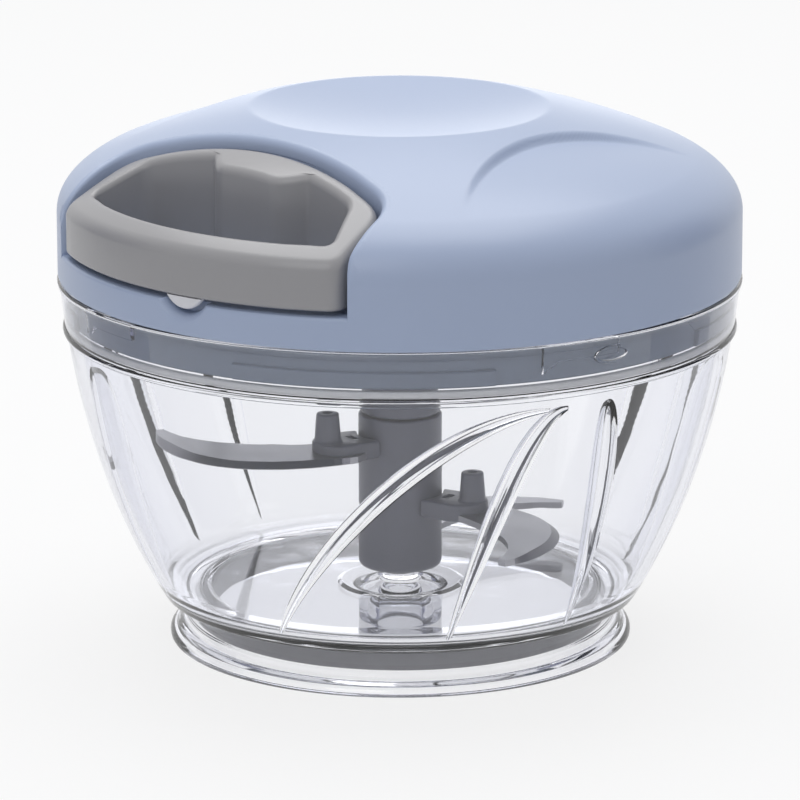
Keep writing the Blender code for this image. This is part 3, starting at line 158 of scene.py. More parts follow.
def lobed(first: float, span: float, radii: Point2, steps: int) -> list[Vector]:
    """Draw a round outline whose radius changes four times, alike on opposite sides.

    Args:
        first: Azimuth where the first radius starts.
        span: Degrees that the first radius covers.
        radii: First and second radius.
        steps: Stretches in each arc.

    Returns:
        The closed outline.
    """
    outline: list[Vector] = []
    for start in (first, first + 180.0):
        outline += sweep((0.0, 0.0), radii[0], start, start + span, steps)
        outline += sweep((0.0, 0.0), radii[1], start + span, start + 180.0, steps)
    return outline


def eased(points: Sequence[Vector], radii: Sequence[float], steps: int) -> list[Vector]:
    """Round the corners of a closed outline.

    Args:
        points: Corner points in plan.
        radii: How far back from each corner the curve starts.
        steps: Stretches in each curve.

    Returns:
        The rounded outline.
    """
    outline: list[Vector] = []
    for index, here in enumerate(points):
        before = points[index - 1]
        after = points[(index + 1) % len(points)]
        shortest = min((before - here).length, (after - here).length)
        reach = min(radii[index], shortest * MOST_OF_SIDE)
        if reach <= 0.0:
            outline.append(here)
            continue
        first = here + (before - here).normalized() * reach
        last = here + (after - here).normalized() * reach
        outline.extend(bend(first, here, last, steps))
    return outline


def joined_arcs(
    arcs: Sequence[Sequence[Vector]], trims: Sequence[int], radii: Sequence[float]
) -> list[Vector]:
    """Close arcs into one outline and round the corners where they meet.

    Args:
        arcs: The arcs, in order.
        trims: Points that each arc gives up beside its two ends.
        radii: How far back from its ends the rounding of each arc starts.

    Returns:
        The outline.
    """
    points: list[Vector] = []
    reaches: list[float] = []
    for arc, trim, radius in zip(arcs, trims, radii):
        between = list(arc[trim:-trim])
        points += [arc[0]] + between + [arc[-1]]
        reaches += [radius] + [0.0] * len(between) + [radius]
    return eased(points, reaches, 8)


def normals(outline: Sequence[Vector]) -> list[Vector]:
    """Find the outward direction at each point of a counter-clockwise outline.

    Args:
        outline: Closed outline in plan.

    Returns:
        One unit vector for each point.
    """
    count = len(outline)
    ways = []
    for index in range(count):
        run = outline[(index + 1) % count] - outline[index - 1]
        ways.append(Vector((run.y, -run.x, 0.0)).normalized())
    return ways


def offset(outline: Sequence[Vector], amount: float) -> list[Vector]:
    """Move a counter-clockwise outline outwards.

    Args:
        outline: Closed outline in plan.
        amount: Distance; negative moves inwards.

    Returns:
        The moved outline, point for point.
    """
    return [point + way * amount for point, way in zip(outline, normals(outline))]


def paced(outline: Sequence[Vector], count: int) -> list[Vector]:
    """Space points evenly along each half of an outline that crosses the Y axis twice.

    Args:
        outline: Closed outline, counter-clockwise.
        count: Number of points, an even one.

    Returns:
        The points, counter-clockwise from the front.
    """
    front = min(range(len(outline)), key=lambda at: outline[at].y + 2.0 * abs(outline[at].x))
    ring = list(outline[front:]) + list(outline[:front])
    right = [point for point in ring if point.x > ON_AXIS]
    left = [point for point in ring if point.x < -ON_AXIS]
    first, last = Vector((0.0, right[0].y, 0.0)), Vector((0.0, right[-1].y, 0.0))
    points: list[Vector] = []
    for path in ([first] + right + [last], [last] + left + [first]):
        marks = [0.0]
        for before, after in zip(path, path[1:]):
            marks.append(marks[-1] + (after - before).length)
        place = 0
        for step in range(count // 2):
            goal = marks[-1] * step / (count // 2)
            while place < len(marks) - 2 and marks[place + 1] < goal:
                place += 1
            stretch = max(1e-9, marks[place + 1] - marks[place])
            share = (goal - marks[place]) / stretch
            points.append(path[place].lerp(path[place + 1], share))
    return points


def held(profile: Sequence[Sequence[float]], reach: float = 0.3) -> list[Sequence[float]]:
    """Put a point close to both ends of each long stretch, so that its shading stays flat.

    Args:
        profile: Closed section as radius and height.
        reach: Distance of the new points from the ends.

    Returns:
        The section with its extra points.
    """
    points: list[Sequence[float]] = []
    for here, after in zip(profile, list(profile[1:]) + [profile[0]]):
        points.append(here)
        run = (after[0] - here[0], after[1] - here[1])
        length = math.hypot(*run)
        if length > 4.0 * reach:
            for share in (reach / length, 1.0 - reach / length):
                points.append((here[0] + run[0] * share, here[1] + run[1] * share))
    return points


def softened(value: float) -> float:
    """Ease a share between 0 and 1 in and out."""
    share = min(1.0, max(0.0, value))
    return share * share * (3.0 - 2.0 * share)


# modelling bench


class Bench:
    """Modelling by operators, in millimetres. Each finished object is left at the origin."""

    @staticmethod
    def clear_selection() -> None:
        """Return to object mode with nothing selected."""
        if bpy.context.mode != "OBJECT":
            bpy.ops.object.mode_set(mode="OBJECT")
        bpy.ops.object.select_all(action="DESELECT")

    @classmethod
    def pick(cls, item: bpy.types.Object) -> None:
        """Select one object alone and make it active."""
        cls.clear_selection()
        item.select_set(True)
        bpy.context.view_layer.objects.active = item

    @classmethod
    def edit(cls, item: bpy.types.Object) -> None:
        """Open one object in edit mode with all of it selected."""
        cls.pick(item)
        bpy.ops.object.mode_set(mode="EDIT")
        bpy.ops.mesh.select_mode(type="VERT")
        bpy.ops.mesh.select_all(action="SELECT")

    @staticmethod
    def close(merge: float = 1e-6) -> None:
        """Weld, point the faces outwards and leave edit mode.

        Args:
            merge: Welding distance in metres.
        """
        bpy.ops.mesh.select_all(action="SELECT")
        bpy.ops.mesh.remove_doubles(threshold=merge)
        bpy.ops.mesh.dissolve_degenerate(threshold=1e-7)
        bpy.ops.mesh.select_all(action="SELECT")
        bpy.ops.mesh.delete_loose(use_verts=True, use_edges=True, use_faces=False)
        bpy.ops.mesh.select_all(action="SELECT")
        bpy.ops.mesh.normals_make_consistent(inside=False)
        bpy.ops.object.mode_set(mode="OBJECT")

    @staticmethod
    def named(name: str) -> bpy.types.Object:
        """Name the object that was just added, and its mesh."""
        item = bpy.context.object
        item.name = name
        item.data.name = name
        return item

    @classmethod
    def turned(cls, name: str, profile: Sequence[Sequence[float]], steps: int) -> bpy.types.Object:
        """Spin a closed section round the upright axis.

        Args:
            name: Name of the object.
            profile: Radius and height of each point.
            steps: Facets round the turn.

        Returns:
            The turned body.
        """
        section = held(profile)
        cls.clear_selection()
        bpy.ops.mesh.primitive_circle_add(vertices=len(section), radius=MM, fill_type="NOTHING")
        item = cls.named(name)
        for vertex, point in zip(item.data.vertices, section):
            vertex.co = (point[0] * MM, 0.0, point[1] * MM)
        cls.edit(item)
        bpy.ops.mesh.spin(steps=steps, angle=math.tau, center=(0.0, 0.0, 0.0), axis=(0.0, 0.0, 1.0))
        cls.close()
        return item

    @classmethod
    def lofted(
        cls, name: str, rows: Sequence[Sequence[Sequence[float]]], closed: bool = False
    ) -> bpy.types.Object:
        """Skin matching rings of points, capped at both ends or joined end to end.

        Args:
            name: Name of the object.
            rows: Rings of points, all with the same count.
            closed: Whether the last ring joins the first one.

        Returns:
            The lofted body.
        """
        rings = list(rows) + ([rows[0]] if closed else [])
        count = len(rings[0])
        cls.clear_selection()
        across = len(rings) - 1
        bpy.ops.mesh.primitive_grid_add(x_subdivisions=count, y_subdivisions=across, size=MM)
        item = cls.named(name)
        flat: list[float] = []
        for ring in rings:
            for point in list(ring) + [ring[0]]:
                flat.extend((point[0] * MM, point[1] * MM, point[2] * MM))
        item.data.vertices.foreach_set("co", flat)
        cls.edit(item)
        bpy.ops.mesh.remove_doubles(threshold=1e-7)
        if not closed:
            bpy.ops.mesh.select_all(action="SELECT")
            bpy.ops.mesh.fill_holes(sides=0)
        cls.close(1e-7)
        return item

    @classmethod
    def prism(
        cls, name: str, outline: Sequence[Sequence[float]], low: float, high: float
    ) -> bpy.types.Object:
        """Extrude a plan outline upwards.

        Args:
            name: Name of the object.
            outline: Closed outline.
            low: Height of the lower face.
            high: Height of the upper face.

        Returns:
            The prism.
        """
        cls.clear_selection()
        bpy.ops.mesh.primitive_circle_add(vertices=len(outline), radius=MM, fill_type="NGON")
        item = cls.named(name)
        for vertex, point in zip(item.data.vertices, outline):
            vertex.co = (point[0] * MM, point[1] * MM, low * MM)
        cls.edit(item)
        lift = (0.0, 0.0, (high - low) * MM)
        bpy.ops.mesh.extrude_region_move(TRANSFORM_OT_translate={"value": lift})
        cls.close()
        return item

    @classmethod
    def swept(
        cls, name: str, stations: Iterable[tuple[float, Sequence[Sequence[float]]]]
    ) -> bpy.types.Object:
        """Skin upright sections that stand round the axis.

        Args:
            name: Name of the object.
            stations: Azimuth of each section, and its points as radius and height.

        Returns:
            The swept body.
        """
        rows = []
        for angle, section in stations:
            rows.append([polar(point[0], angle, point[1]) for point in section])
        return cls.lofted(name, rows)

    @classmethod
    def bar(
        cls, name: str, radius: float, start: Point3, end: Point3, sides: int
    ) -> bpy.types.Object:
        """Add a straight round bar between two points.

        Args:
            name: Name of the object.
            radius: Radius of the bar.
            start: Centre of its first end.
            end: Centre of its last end.
            sides: Facets round it.

        Returns:
            The bar.
        """
        run = Vector(end) - Vector(start)
        middle = (Vector(start) + Vector(end)) / 2
        turn = run.to_track_quat("Z", "Y").to_euler()
        cls.clear_selection()
        bpy.ops.mesh.primitive_cylinder_add(
            vertices=sides,
            radius=radius * MM,
            depth=run.length * MM,
            location=middle * MM,
            rotation=turn,
        )
        item = cls.named(name)
        cls.settle(item)
        return item

    @classmethod
    def settle(cls, item: bpy.types.Object) -> None:
        """Move an object's place, turn and scale into its mesh."""
        cls.pick(item)
        bpy.ops.object.transform_apply(location=True, rotation=True, scale=True)

    @classmethod
    def put(cls, item: bpy.types.Object, place: Sequence[float], tip: float = 0.0) -> None:
        """Tip an object about the X axis and set it down, in its mesh.

        Args:
            item: The object.
            place: Where its origin goes, in millimetres.
            tip: Angle in degrees.
        """
        item.rotation_euler = (math.radians(tip), 0.0, 0.0)
        item.location = tuple(value * MM for value in place)
        cls.settle(item)

    @classmethod
    def turn(cls, item: bpy.types.Object, degrees: float) -> None:
        """Turn an object about the upright axis, in its mesh."""
        item.rotation_euler = (0.0, 0.0, math.radians(degrees))
        cls.settle(item)

    @classmethod
    def copy(cls, item: bpy.types.Object, name: str) -> bpy.types.Object:
        """Duplicate an object with its own mesh under a new name."""
        cls.pick(item)
        bpy.ops.object.duplicate(linked=False)
        return cls.named(name)

    @classmethod
    def joined(cls, items: Sequence[bpy.types.Object]) -> bpy.types.Object:
        """Join several objects into the first one."""
        cls.clear_selection()
        for item in items:
            item.select_set(True)
        bpy.context.view_layer.objects.active = items[0]
        bpy.ops.object.join()
        return items[0]

    @classmethod
    def combine(cls, item: bpy.types.Object, other: bpy.types.Object, cut: Cut) -> None:
        """Cut or join one solid by another, which is used up.

        Args:
            item: The solid that stays.
            other: The solid that acts on it.
            cut: What it does.
        """
        step = item.modifiers.new("combine", "BOOLEAN")
        step.operation = cut.value
        step.solver = "EXACT"
        step.object = other
        cls.pick(item)
        bpy.ops.object.modifier_apply(modifier=step.name)
        bpy.data.objects.remove(other, do_unlink=True)

    @classmethod
    def bevel(cls, item: bpy.types.Object, width: float, angle: float) -> None:
        """Round the edges that are sharper than an angle.

        Args:
            item: The object.
            width: Width of the rounding.
            angle: Least angle between faces, in degrees.
        """
        step = item.modifiers.new("rounding", "BEVEL")
        step.width = width * MM
        step.segments = 3
        step.limit_method = "ANGLE"
        step.angle_limit = math.radians(angle)
        cls.pick(item)
        bpy.ops.object.modifier_apply(modifier=step.name)

    @classmethod
    def smooth(cls, item: bpy.types.Object, angle: float = 32.0) -> None:
        """Shade an object smooth except over sharp edges."""
        cls.pick(item)
        bpy.ops.object.shade_smooth_by_angle(angle=math.radians(angle))


# shader wiring


class Wire:
    """A shader socket that can stand in arithmetic."""

    def __init__(self, graph: "Graph", socket: bpy.types.NodeSocket) -> None:
        """Wrap a socket of one graph."""
        self.graph = graph
        self.socket = socket

    def maths(self, operation: str, first: "Wire | float", second: "Wire | float") -> "Wire":
        """Add one Math node."""
        node = self.graph.add("ShaderNodeMath", {"operation": operation}, {0: first, 1: second})
        return self.graph.wire(node)

    def __add__(self, other: "Wire | float") -> "Wire":
        """Add a value."""
        return self.maths("ADD", self, other)

    __radd__ = __add__

    def __sub__(self, other: "Wire | float") -> "Wire":
        """Take a value away."""
        return self.maths("SUBTRACT", self, other)

    def __rsub__(self, other: "Wire | float") -> "Wire":
        """Take this away from a value."""
        return self.maths("SUBTRACT", other, self)

    def __mul__(self, other: "Wire | float") -> "Wire":
        """Multiply by a value."""
        return self.maths("MULTIPLY", self, other)

    __rmul__ = __mul__

    def __pow__(self, other: "Wire | float") -> "Wire":
        """Raise to a power."""
        return self.maths("POWER", self, other)

    def clipped(self) -> "Wire":
        """Keep the value between 0 and 1."""
        node = self.graph.add("ShaderNodeClamp", {}, {0: self})
        return self.graph.wire(node)


class Graph:
    """The nodes of one material, or of the world."""

    def __init__(self, name: str, world: bpy.types.World | None = None) -> None:
        """Start with no nodes.

        Args:
            name: Name of the material.
            world: The world, if the nodes are its own.
        """
        self.owner = world or bpy.data.materials.new(name)
        self.owner.use_nodes = True
        self.tree = self.owner.node_tree
        self.tree.nodes.clear()

    def add(
        self,
        kind: str,
        settings: Mapping[str, Any] | None = None,
        inputs: Mapping[Any, Any] | None = None,
    ) -> bpy.types.Node:
        """Add a node, set it up and feed it.

        Args:
            kind: Type of the node.
            settings: Its properties.
            inputs: Values or wires by socket name or number.

        Returns:
            The node.
        """
        node = self.tree.nodes.new(kind)
        for key, value in (settings or {}).items():
            setattr(node, key, value)
        for key, value in (inputs or {}).items():
            if isinstance(value, Wire):
                self.tree.links.new(value.socket, node.inputs[key])
            else:
                node.inputs[key].default_value = value
        return node

    def wire(self, node: bpy.types.Node, output: int | str = 0) -> Wire:
        """Take one output of a node."""
        return Wire(self, node.outputs[output])

    def place(self) -> Wire:
        """Take the Object coordinates."""
        return self.wire(self.add("ShaderNodeTexCoord"), "Object")

    def noise(self, size: float, detail: float = 2.0, where: Wire | None = None) -> Wire:
        """Add a noise whose features have a real size.

        Args:
            size: Size of its features in millimetres.
            detail: Finer layers.
            where: Coordinates, if not the plain Object ones.

        Returns:
            The noise value.
        """
        inputs = {"Vector": where or self.place(), "Scale": 1.0 / (size * MM), "Detail": detail}
        return self.wire(self.add("ShaderNodeTexNoise", {}, inputs))

    def stretched(self, scale: Point3, turn: float = 0.0) -> Wire:
        """Scale the Object coordinates along their axes.

        Args:
            scale: Factor along each axis.
            turn: Turn about the upright axis first, in degrees.

        Returns:
            The coordinates.
        """
        spin = {"Vector": self.place(), "Rotation": (0.0, 0.0, math.radians(turn))}
        spun = self.wire(self.add("ShaderNodeMapping", {}, spin))
        return self.wire(self.add("ShaderNodeMapping", {}, {"Vector": spun, "Scale": scale}))

    def shown(self) -> Wire:
        """Tell the rays of the camera, of clear pieces and of gloss (1) from all others (0)."""
        path = self.add("ShaderNodeLightPath")
        camera, through = self.wire(path, "Is Camera Ray"), self.wire(path, "Is Transmission Ray")
        return (camera + through + self.wire(path, "Is Glossy Ray")).clipped()

    def mixed(
        self, share: Wire, first: bpy.types.Node, second: bpy.types.Node, output: str
    ) -> None:
        """Mix two shaders and end the nodes with them.

        Args:
            share: Share of the second shader.
            first: First shader.
            second: Second shader.
            output: Type of the output node.
        """
        inputs = {0: share, 1: self.wire(first), 2: self.wire(second)}
        mix = self.wire(self.add("ShaderNodeMixShader", {}, inputs))
        self.add(output, {}, {"Surface": mix})

    def blend(
        self, factor: Wire | float, first: Sequence[float] | Wire, second: Sequence[float] | Wire
    ) -> Wire:
        """Mix two colours."""
        node = self.add("ShaderNodeMix", {"data_type": "RGBA"}, {0: factor, 6: first, 7: second})
        return self.wire(node, 2)

    def bump(self, height: Wire, depth: float) -> Wire:
        """Turn a height into a normal.

        Args:
            height: The height.
            depth: Depth for a height of 1, in millimetres.

        Returns:
            The normal.
        """
        inputs = {"Height": height, "Distance": depth * MM, "Strength": 1.0}
        return self.wire(self.add("ShaderNodeBump", {}, inputs))

    def surface(self, inputs: Mapping[str, Any]) -> bpy.types.Material:
        """Finish the material with a Principled shader.

        Args:
            inputs: Its values and wires.

        Returns:
            The material.
        """
        shader = self.add("ShaderNodeBsdfPrincipled", {}, inputs)
        self.add("ShaderNodeOutputMaterial", {}, {"Surface": self.wire(shader)})
        return self.owner


def tint(colour: Sequence[float], factor: float = 1.0) -> tuple[float, float, float, float]:
    """Scale a colour and give it full alpha."""
    return (colour[0] * factor, colour[1] * factor, colour[2] * factor, 1.0)


@dataclass(frozen=True)
class MouldedPlastic:
    """Moulded plastic with a fine spark-eroded grain and a faint cloudiness."""

    name: str
    colour: Colour
    roughness: float = 0.4
    grain: float = 0.35
    depth: float = 0.006
    cloud: float = 0.03
    specular: float = 0.5

    def build(self) -> bpy.types.Material:
        """Make the material."""
        graph = Graph(self.name)
        cloudy = graph.noise(18.0, 3.0)
        grain = graph.noise(self.grain, 3.0)
        dark, light = 1.0 - self.cloud, 1.0 + self.cloud
        colour = graph.blend(cloudy, tint(self.colour, dark), tint(self.colour, light))
        roughness = self.roughness + (grain - 0.5) * 0.12 + (cloudy - 0.5) * 0.06
        return graph.surface(
            {
                "Base Color": colour,
                "Roughness": roughness.clipped(),
                "Normal": graph.bump(grain, self.depth),
                "Specular IOR Level": self.specular,
            }
        )


@dataclass(frozen=True)
class ClearPlastic:
    """Polished clear plastic with the slight waviness of a moulding."""

    name: str
    colour: Colour
    # Dark bluish colour that the surface turns towards when seen edge-on: painted edge shade
    edge: Colour = (0.58, 0.60, 0.75)
    ior: float = 1.49

    def build(self) -> bpy.types.Material:
        """Make the material."""
        graph = Graph(self.name)
        wave = graph.noise(9.0, 1.0)
        scuff = graph.noise(1.5, 4.0, graph.stretched((1.0, 1.0, 0.35)))
        roughness = 0.012 + (scuff ** 3.0) * 0.05
        # The base colour darkens towards the edge colour at grazing angles: painted shade for the
        # dark edges of clear plastic
        weight = graph.add("ShaderNodeLayerWeight", {}, {"Blend": 0.5})
        painted_edge_shade = graph.wire(weight, "Facing") ** 2.5
        face = graph.blend(wave, tint(self.colour), tint(self.colour, 1.01))
        return graph.surface(
            {
                "Base Color": graph.blend(painted_edge_shade, face, tint(self.edge)),
                "Roughness": roughness.clipped(),
                "Normal": graph.bump(wave, 0.02),
                "Transmission Weight": 1.0,
                "IOR": self.ior,
            }
        )


@dataclass(frozen=True)
class GroundSteel:
    """Stainless steel with fine grinding lines and a few faint smudges."""

    name: str
    colour: Colour
    roughness: float = 0.3
    along: float = 0.0

    def build(self) -> bpy.types.Material:
        """Make the material."""
        graph = Graph(self.name)
        lines = graph.noise(0.5, 4.0, graph.stretched((0.04, 1.0, 1.0), self.along))
        smudge = graph.noise(7.0, 2.0)
        colour = graph.blend(lines, tint(self.colour, 0.93), tint(self.colour, 1.05))
        roughness = self.roughness + (lines - 0.5) * 0.14 + (smudge - 0.5) * 0.12
        return graph.surface(
            {
                "Base Color": colour,
                "Metallic": 1.0,
                "Roughness": roughness.clipped(),
                "Normal": graph.bump(lines, 0.004),
            }
        )


@dataclass(frozen=True)
class SoftRubber:
    """Matte elastomer with a powdery skin and light dust."""

    name: str
    colour: Colour
    roughness: float = 0.68

    def build(self) -> bpy.types.Material:
        """Make the material."""
        graph = Graph(self.name)
        dust = graph.noise(2.2, 5.0)
        skin = graph.noise(0.25, 2.0)
        colour = graph.blend(dust, tint(self.colour, 0.93), tint(self.colour, 1.08))
        roughness = self.roughness + (dust - 0.5) * 0.2
        return graph.surface(
            {
                "Base Color": colour,
                "Roughness": roughness.clipped(),
                "Normal": graph.bump(skin, 0.012),
            }
        )


@dataclass(frozen=True)
class BraidedCord:
    """Tight round braid whose strands cross over each other along the cord."""

    name: str
    colour: Colour
    strand: float = 0.9

    def build(self) -> bpy.types.Material:
        """Make the material."""
        graph = Graph(self.name)
        scale = {"Scale": 1.0 / (self.strand * MM) / 6.0, "Distortion": 0.4, "Detail": 1.0}
        lays = []
        for where in (graph.place(), graph.stretched((-1.0, 1.0, -1.0))):
            inputs = {"Vector": where, **scale}
            lay = graph.add("ShaderNodeTexWave", {"bands_direction": "DIAGONAL"}, inputs)
            lays.append(graph.wire(lay, 1))
        braid = lays[0] * lays[1]
        fuzz = graph.noise(0.15, 3.0)
        height = braid * 0.8 + fuzz * 0.2
        # Darker where the braid is low: painted shade in the hollows between strands, with the fuzz
        # adding some real tone
        colour = graph.blend(height, tint(self.colour, 0.7), tint(self.colour, 1.05))
        roughness = 0.75 + (fuzz - 0.5) * 0.2
        return graph.surface(
            {
                "Base Color": colour,
                "Roughness": roughness.clipped(),
                "Normal": graph.bump(height, 0.12),
            }
        )


class Finishes:
    """Every finish of the chopper, each made once."""

    KINDS = {
        "clear": ClearPlastic("clear_copolyester", (0.955, 0.96, 0.98)),
        "blue": MouldedPlastic(
            "satin_blue_plastic", (0.40, 0.475, 0.64),
            roughness=0.36, grain=0.3, depth=0.004, cloud=0.012,
        ),
        "slate": MouldedPlastic(
            "slate_underside_plastic", (0.20, 0.24, 0.32),
            roughness=0.38, grain=0.3, depth=0.004, cloud=0.03,
        ),
        "grey": MouldedPlastic(
            "warm_grey_plastic", (0.34, 0.335, 0.342),
            roughness=0.31, grain=0.3, depth=0.0015, cloud=0.015,
        ),
        "rotor": MouldedPlastic(
            "dark_grey_plastic", (0.14, 0.145, 0.185),
            roughness=0.4, grain=0.3, depth=0.002, cloud=0.03,
        ),
        "pale": MouldedPlastic(
            "pale_grey_plastic", (0.74, 0.74, 0.77),
            roughness=0.2, grain=0.3, depth=0.002, cloud=0.01,
        ),
        "white": MouldedPlastic(
            "natural_nylon", (0.78, 0.78, 0.75),
            roughness=0.38, grain=0.5, depth=0.006, cloud=0.03,
        ),
        "blade": GroundSteel("ground_blade_steel", (0.38, 0.38, 0.41), roughness=0.38, along=20.0),
        # The ground bevel's steel: its roughness and grinding lines are the honed finish, its
        # darker colour is painted shade
        "edge": GroundSteel("honed_edge_steel_painted_shade", (0.20, 0.20, 0.23), roughness=0.34, along=110.0),
        "steel": GroundSteel("plated_steel", (0.58, 0.58, 0.60)),
        "ring": SoftRubber("soft_grey_rubber", (0.30, 0.30, 0.32)),
        "seal": SoftRubber("milky_silicone", (0.72, 0.73, 0.75), roughness=0.5),
        "cord": BraidedCord("braided_white_cord", (0.78, 0.78, 0.77)),
    }

    def __init__(self) -> None:
        """Start with nothing made."""
        self.made: dict[str, bpy.types.Material] = {}

    def get(self, kind: str) -> bpy.types.Material:
        """Make a finish on first use and hand it out."""
        if kind not in self.made:
            self.made[kind] = self.KINDS[kind].build()
        return self.made[kind]


@dataclass
class Maker:
    """Hands finished pieces over to the frame and keeps a tally of them."""

    finishes: Finishes = field(default_factory=Finishes)
    count: int = 0

    def finish(
        self,
        item: bpy.types.Object,
        kind: str,
        body: str,
        nodes: Sequence[str] = (),
        angle: float = 32.0,
    ) -> bpy.types.Object:
        """Smooth, dress and seat one piece.

        Args:
            item: The piece.
            kind: Its finish.
            body: Body that it rides on, or "" for a piece that joins two.
            nodes: Nodes that it stands for.
            angle: Edges sharper than this stay crisp.

        Returns:
            The piece.
        """
        Bench.smooth(item, angle)
        if not item.data.materials:
            item.data.materials.append(self.finishes.get(kind))
        if body:
            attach(item, body)
        if nodes:
            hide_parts(*nodes)
        self.count += 1
        log.info("%s: %d faces", item.name, len(item.data.polygons))
        return item

    def dress(self, node: str, kind: str) -> None:
        """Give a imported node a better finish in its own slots."""
        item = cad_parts[node]
        material = self.finishes.get(kind)
        if not item.material_slots:
            item.data.materials.append(material)
        for holder in item.material_slots:
            holder.material = material
        self.count += 1
        log.info("%s: packed solid, %s", node, material.name)


# bowl


@dataclass
class Bowl:
    """The clear bowl: wall, rim, foot, floor, pin, inside ribs and bayonet ledges."""

    corner: Point2 = (46.0, 9.8)
    control: Point2 = (59.0, 31.5)
    band: Point2 = (63.5, 60.8)
    rim: Point2 = (64.75, 69.9)
    rim_z: float = 71.2
    rim_in: float = 62.6
    rim_foot: float = 0.32
    wall: float = 2.4
    floor_top: float = 10.8
    floor: float = 2.4
    floor_dip: float = 0.35
    floor_curve: float = 4.0
    ledge_z: float = 62.2
    catch_in: float = 61.7
    catch_out: float = 63.5
    catch_top: float = 70.9
    catch_path: tuple[Point2, ...] = (
        (-22.8, 65.7),
        (-20.0, 67.8),
        (-16.0, 67.8),
        (-12.0, 67.8),
        (-8.0, 67.8),
    )
    mark_r: float = 64.5
    mark_at: Point2 = (-10.4, 68.0)
    mark_half: Point2 = (4.0, 1.75)
    mark_section: tuple[Point2, ...] = (
        (0.0, -0.6),
        (0.0, 0.12),
        (0.12, 0.26),
        (0.5, 0.3),
        (0.75, 0.1),
        (0.8, 0.02),
    )
    foot_waist: float = 41.0
    foot_wall: float = 1.8
    foot_flange: float = 44.4
    foot_clear: float = 0.05
    ring_low: float = 3.3
    ring_width: float = 3.0
    ring_gap: float = 0.3
    pin_r: float = 3.6
    pin_top: float = 33.7
    boss_r: float = 8.0
    boss_z: float = 1.4
    rib_width: float = 4.0
    rib_depth: float = 3.6
    rib_low: float = 12.0
    rib_high: float = 58.5
    ribs: tuple[Point2, ...] = (
        (-76.0, 56.0),
        (-36.0, 19.0),
        (-5.0, -4.0),
        (27.0, 2.0),
        (51.0, 3.0),
        (77.0, -5.0),
        (171.0, 2.0),
        (196.0, 6.0),
        (-118.0, 4.0),
    )
    steps: int = 192

    def wall_curve(self, inset: float, steps: int) -> list[Vector]:
        """Sample the wall from the lower corner to the band.

        Args:
            inset: Distance inwards.
            steps: Number of stretches.

        Returns:
            Radius and height of each point.
        """
        curve = bend(self.corner, self.control, self.band, steps)
        return [Vector((point.x - inset, point.y)) for point in curve]

    def wall_radius(self, height: float, inset: float) -> float:
        """Find the wall's radius at one height."""
        curve = self.wall_curve(inset, 60)
        for low, high in zip(curve, curve[1:]):
            if low.y <= height <= high.y:
                return low.x + (high.x - low.x) * (height - low.y) / (high.y - low.y)
        return curve[-1].x

    def section(self) -> list[Sequence[float]]:
        """Draw the bowl's closed section, as radius and height."""
        return self.outside() + self.inside() + self.underneath()

    def outside(self) -> list[Sequence[float]]:
        """Draw the section from the foot up the outer wall to the top of the rim."""
        under = self.floor_top - self.floor
        waist, flange, low = self.foot_waist, self.foot_flange, self.foot_clear
        points: list[Sequence[float]] = []
        points += bend((flange - 0.7, low), (flange, low), (flange, low + 0.6), 5)
        points += bend((flange, low + 0.8), (flange, low + 1.5), (flange - 0.7, low + 1.8), 5)
        points += [(flange - 1.3, 2.35), (flange - 1.55, 2.85)]
        points += bend((waist + 0.9, 3.9), (waist, 4.4), (waist, 5.3), 5)
        points += bend((waist, under - 1.0), (waist, under + 0.1), (42.3, under + 0.2), 5)
        points += bend((44.0, under + 0.4), (45.6, under + 0.5), self.corner, 5)
        points += self.wall_curve(0.0, 48)[1:]
        points += bend(*near(self.band, (0.1, 0.05), (0.72, 0.1), (0.72, 0.6)), 5)
        points += bend(*near(self.band, (0.7, 0.8), (0.65, 1.2), (0.3, 1.25)), 4)
        points += near(self.band, (self.rim_foot, 1.5)) + [self.rim]
        points += bend(*near(self.rim, (0.1, 0.05), (0.4, 0.1), (0.4, 0.6)), 4)
        edge, top = self.rim[0], self.rim_z
        points += bend((edge + 0.4, self.rim[1] + 0.8), (edge + 0.3, top), (edge - 0.6, top), 5)
        return points

    def inside(self) -> list[Sequence[float]]:
        """Draw the section from the rim down the inner wall, over the floor and up the pin."""
        rim, top, ledge, floor = self.rim_in, self.rim_z, self.ledge_z, self.floor_top
        wall = self.band[0] - self.wall
        points: list[Sequence[float]] = []
        points += bend((rim + 0.5, top), (rim, top), (rim, top - 0.5), 3)
        points += [(rim, ledge + 0.3), (rim - 0.3, ledge)]
        points += bend((wall + 0.3, ledge), (wall, ledge), (wall, self.band[1] + 1.0), 3)
        lowest = floor + self.floor_curve
        points += [p for p in reversed(self.wall_curve(self.wall, 48)) if p.y > lowest + 0.2]
        foot = self.wall_radius(lowest, self.wall)
        points += bend((foot, lowest), (foot - 1.2, floor), (foot - 6.0, floor), 8)
        points += [(37.2, floor), (36.6, floor - self.floor_dip), (12.0, floor - self.floor_dip)]
        points += [(11.4, floor)]
        pin, tip = self.pin_r, self.pin_top
        points += bend((pin + 0.6, floor), (pin, floor), (pin, floor + 0.6), 3)
        points += [(pin, tip - 1.4)]
        points += bend((pin, tip - 1.4), (pin, tip), (pin - 1.6, tip), 5)
        return points

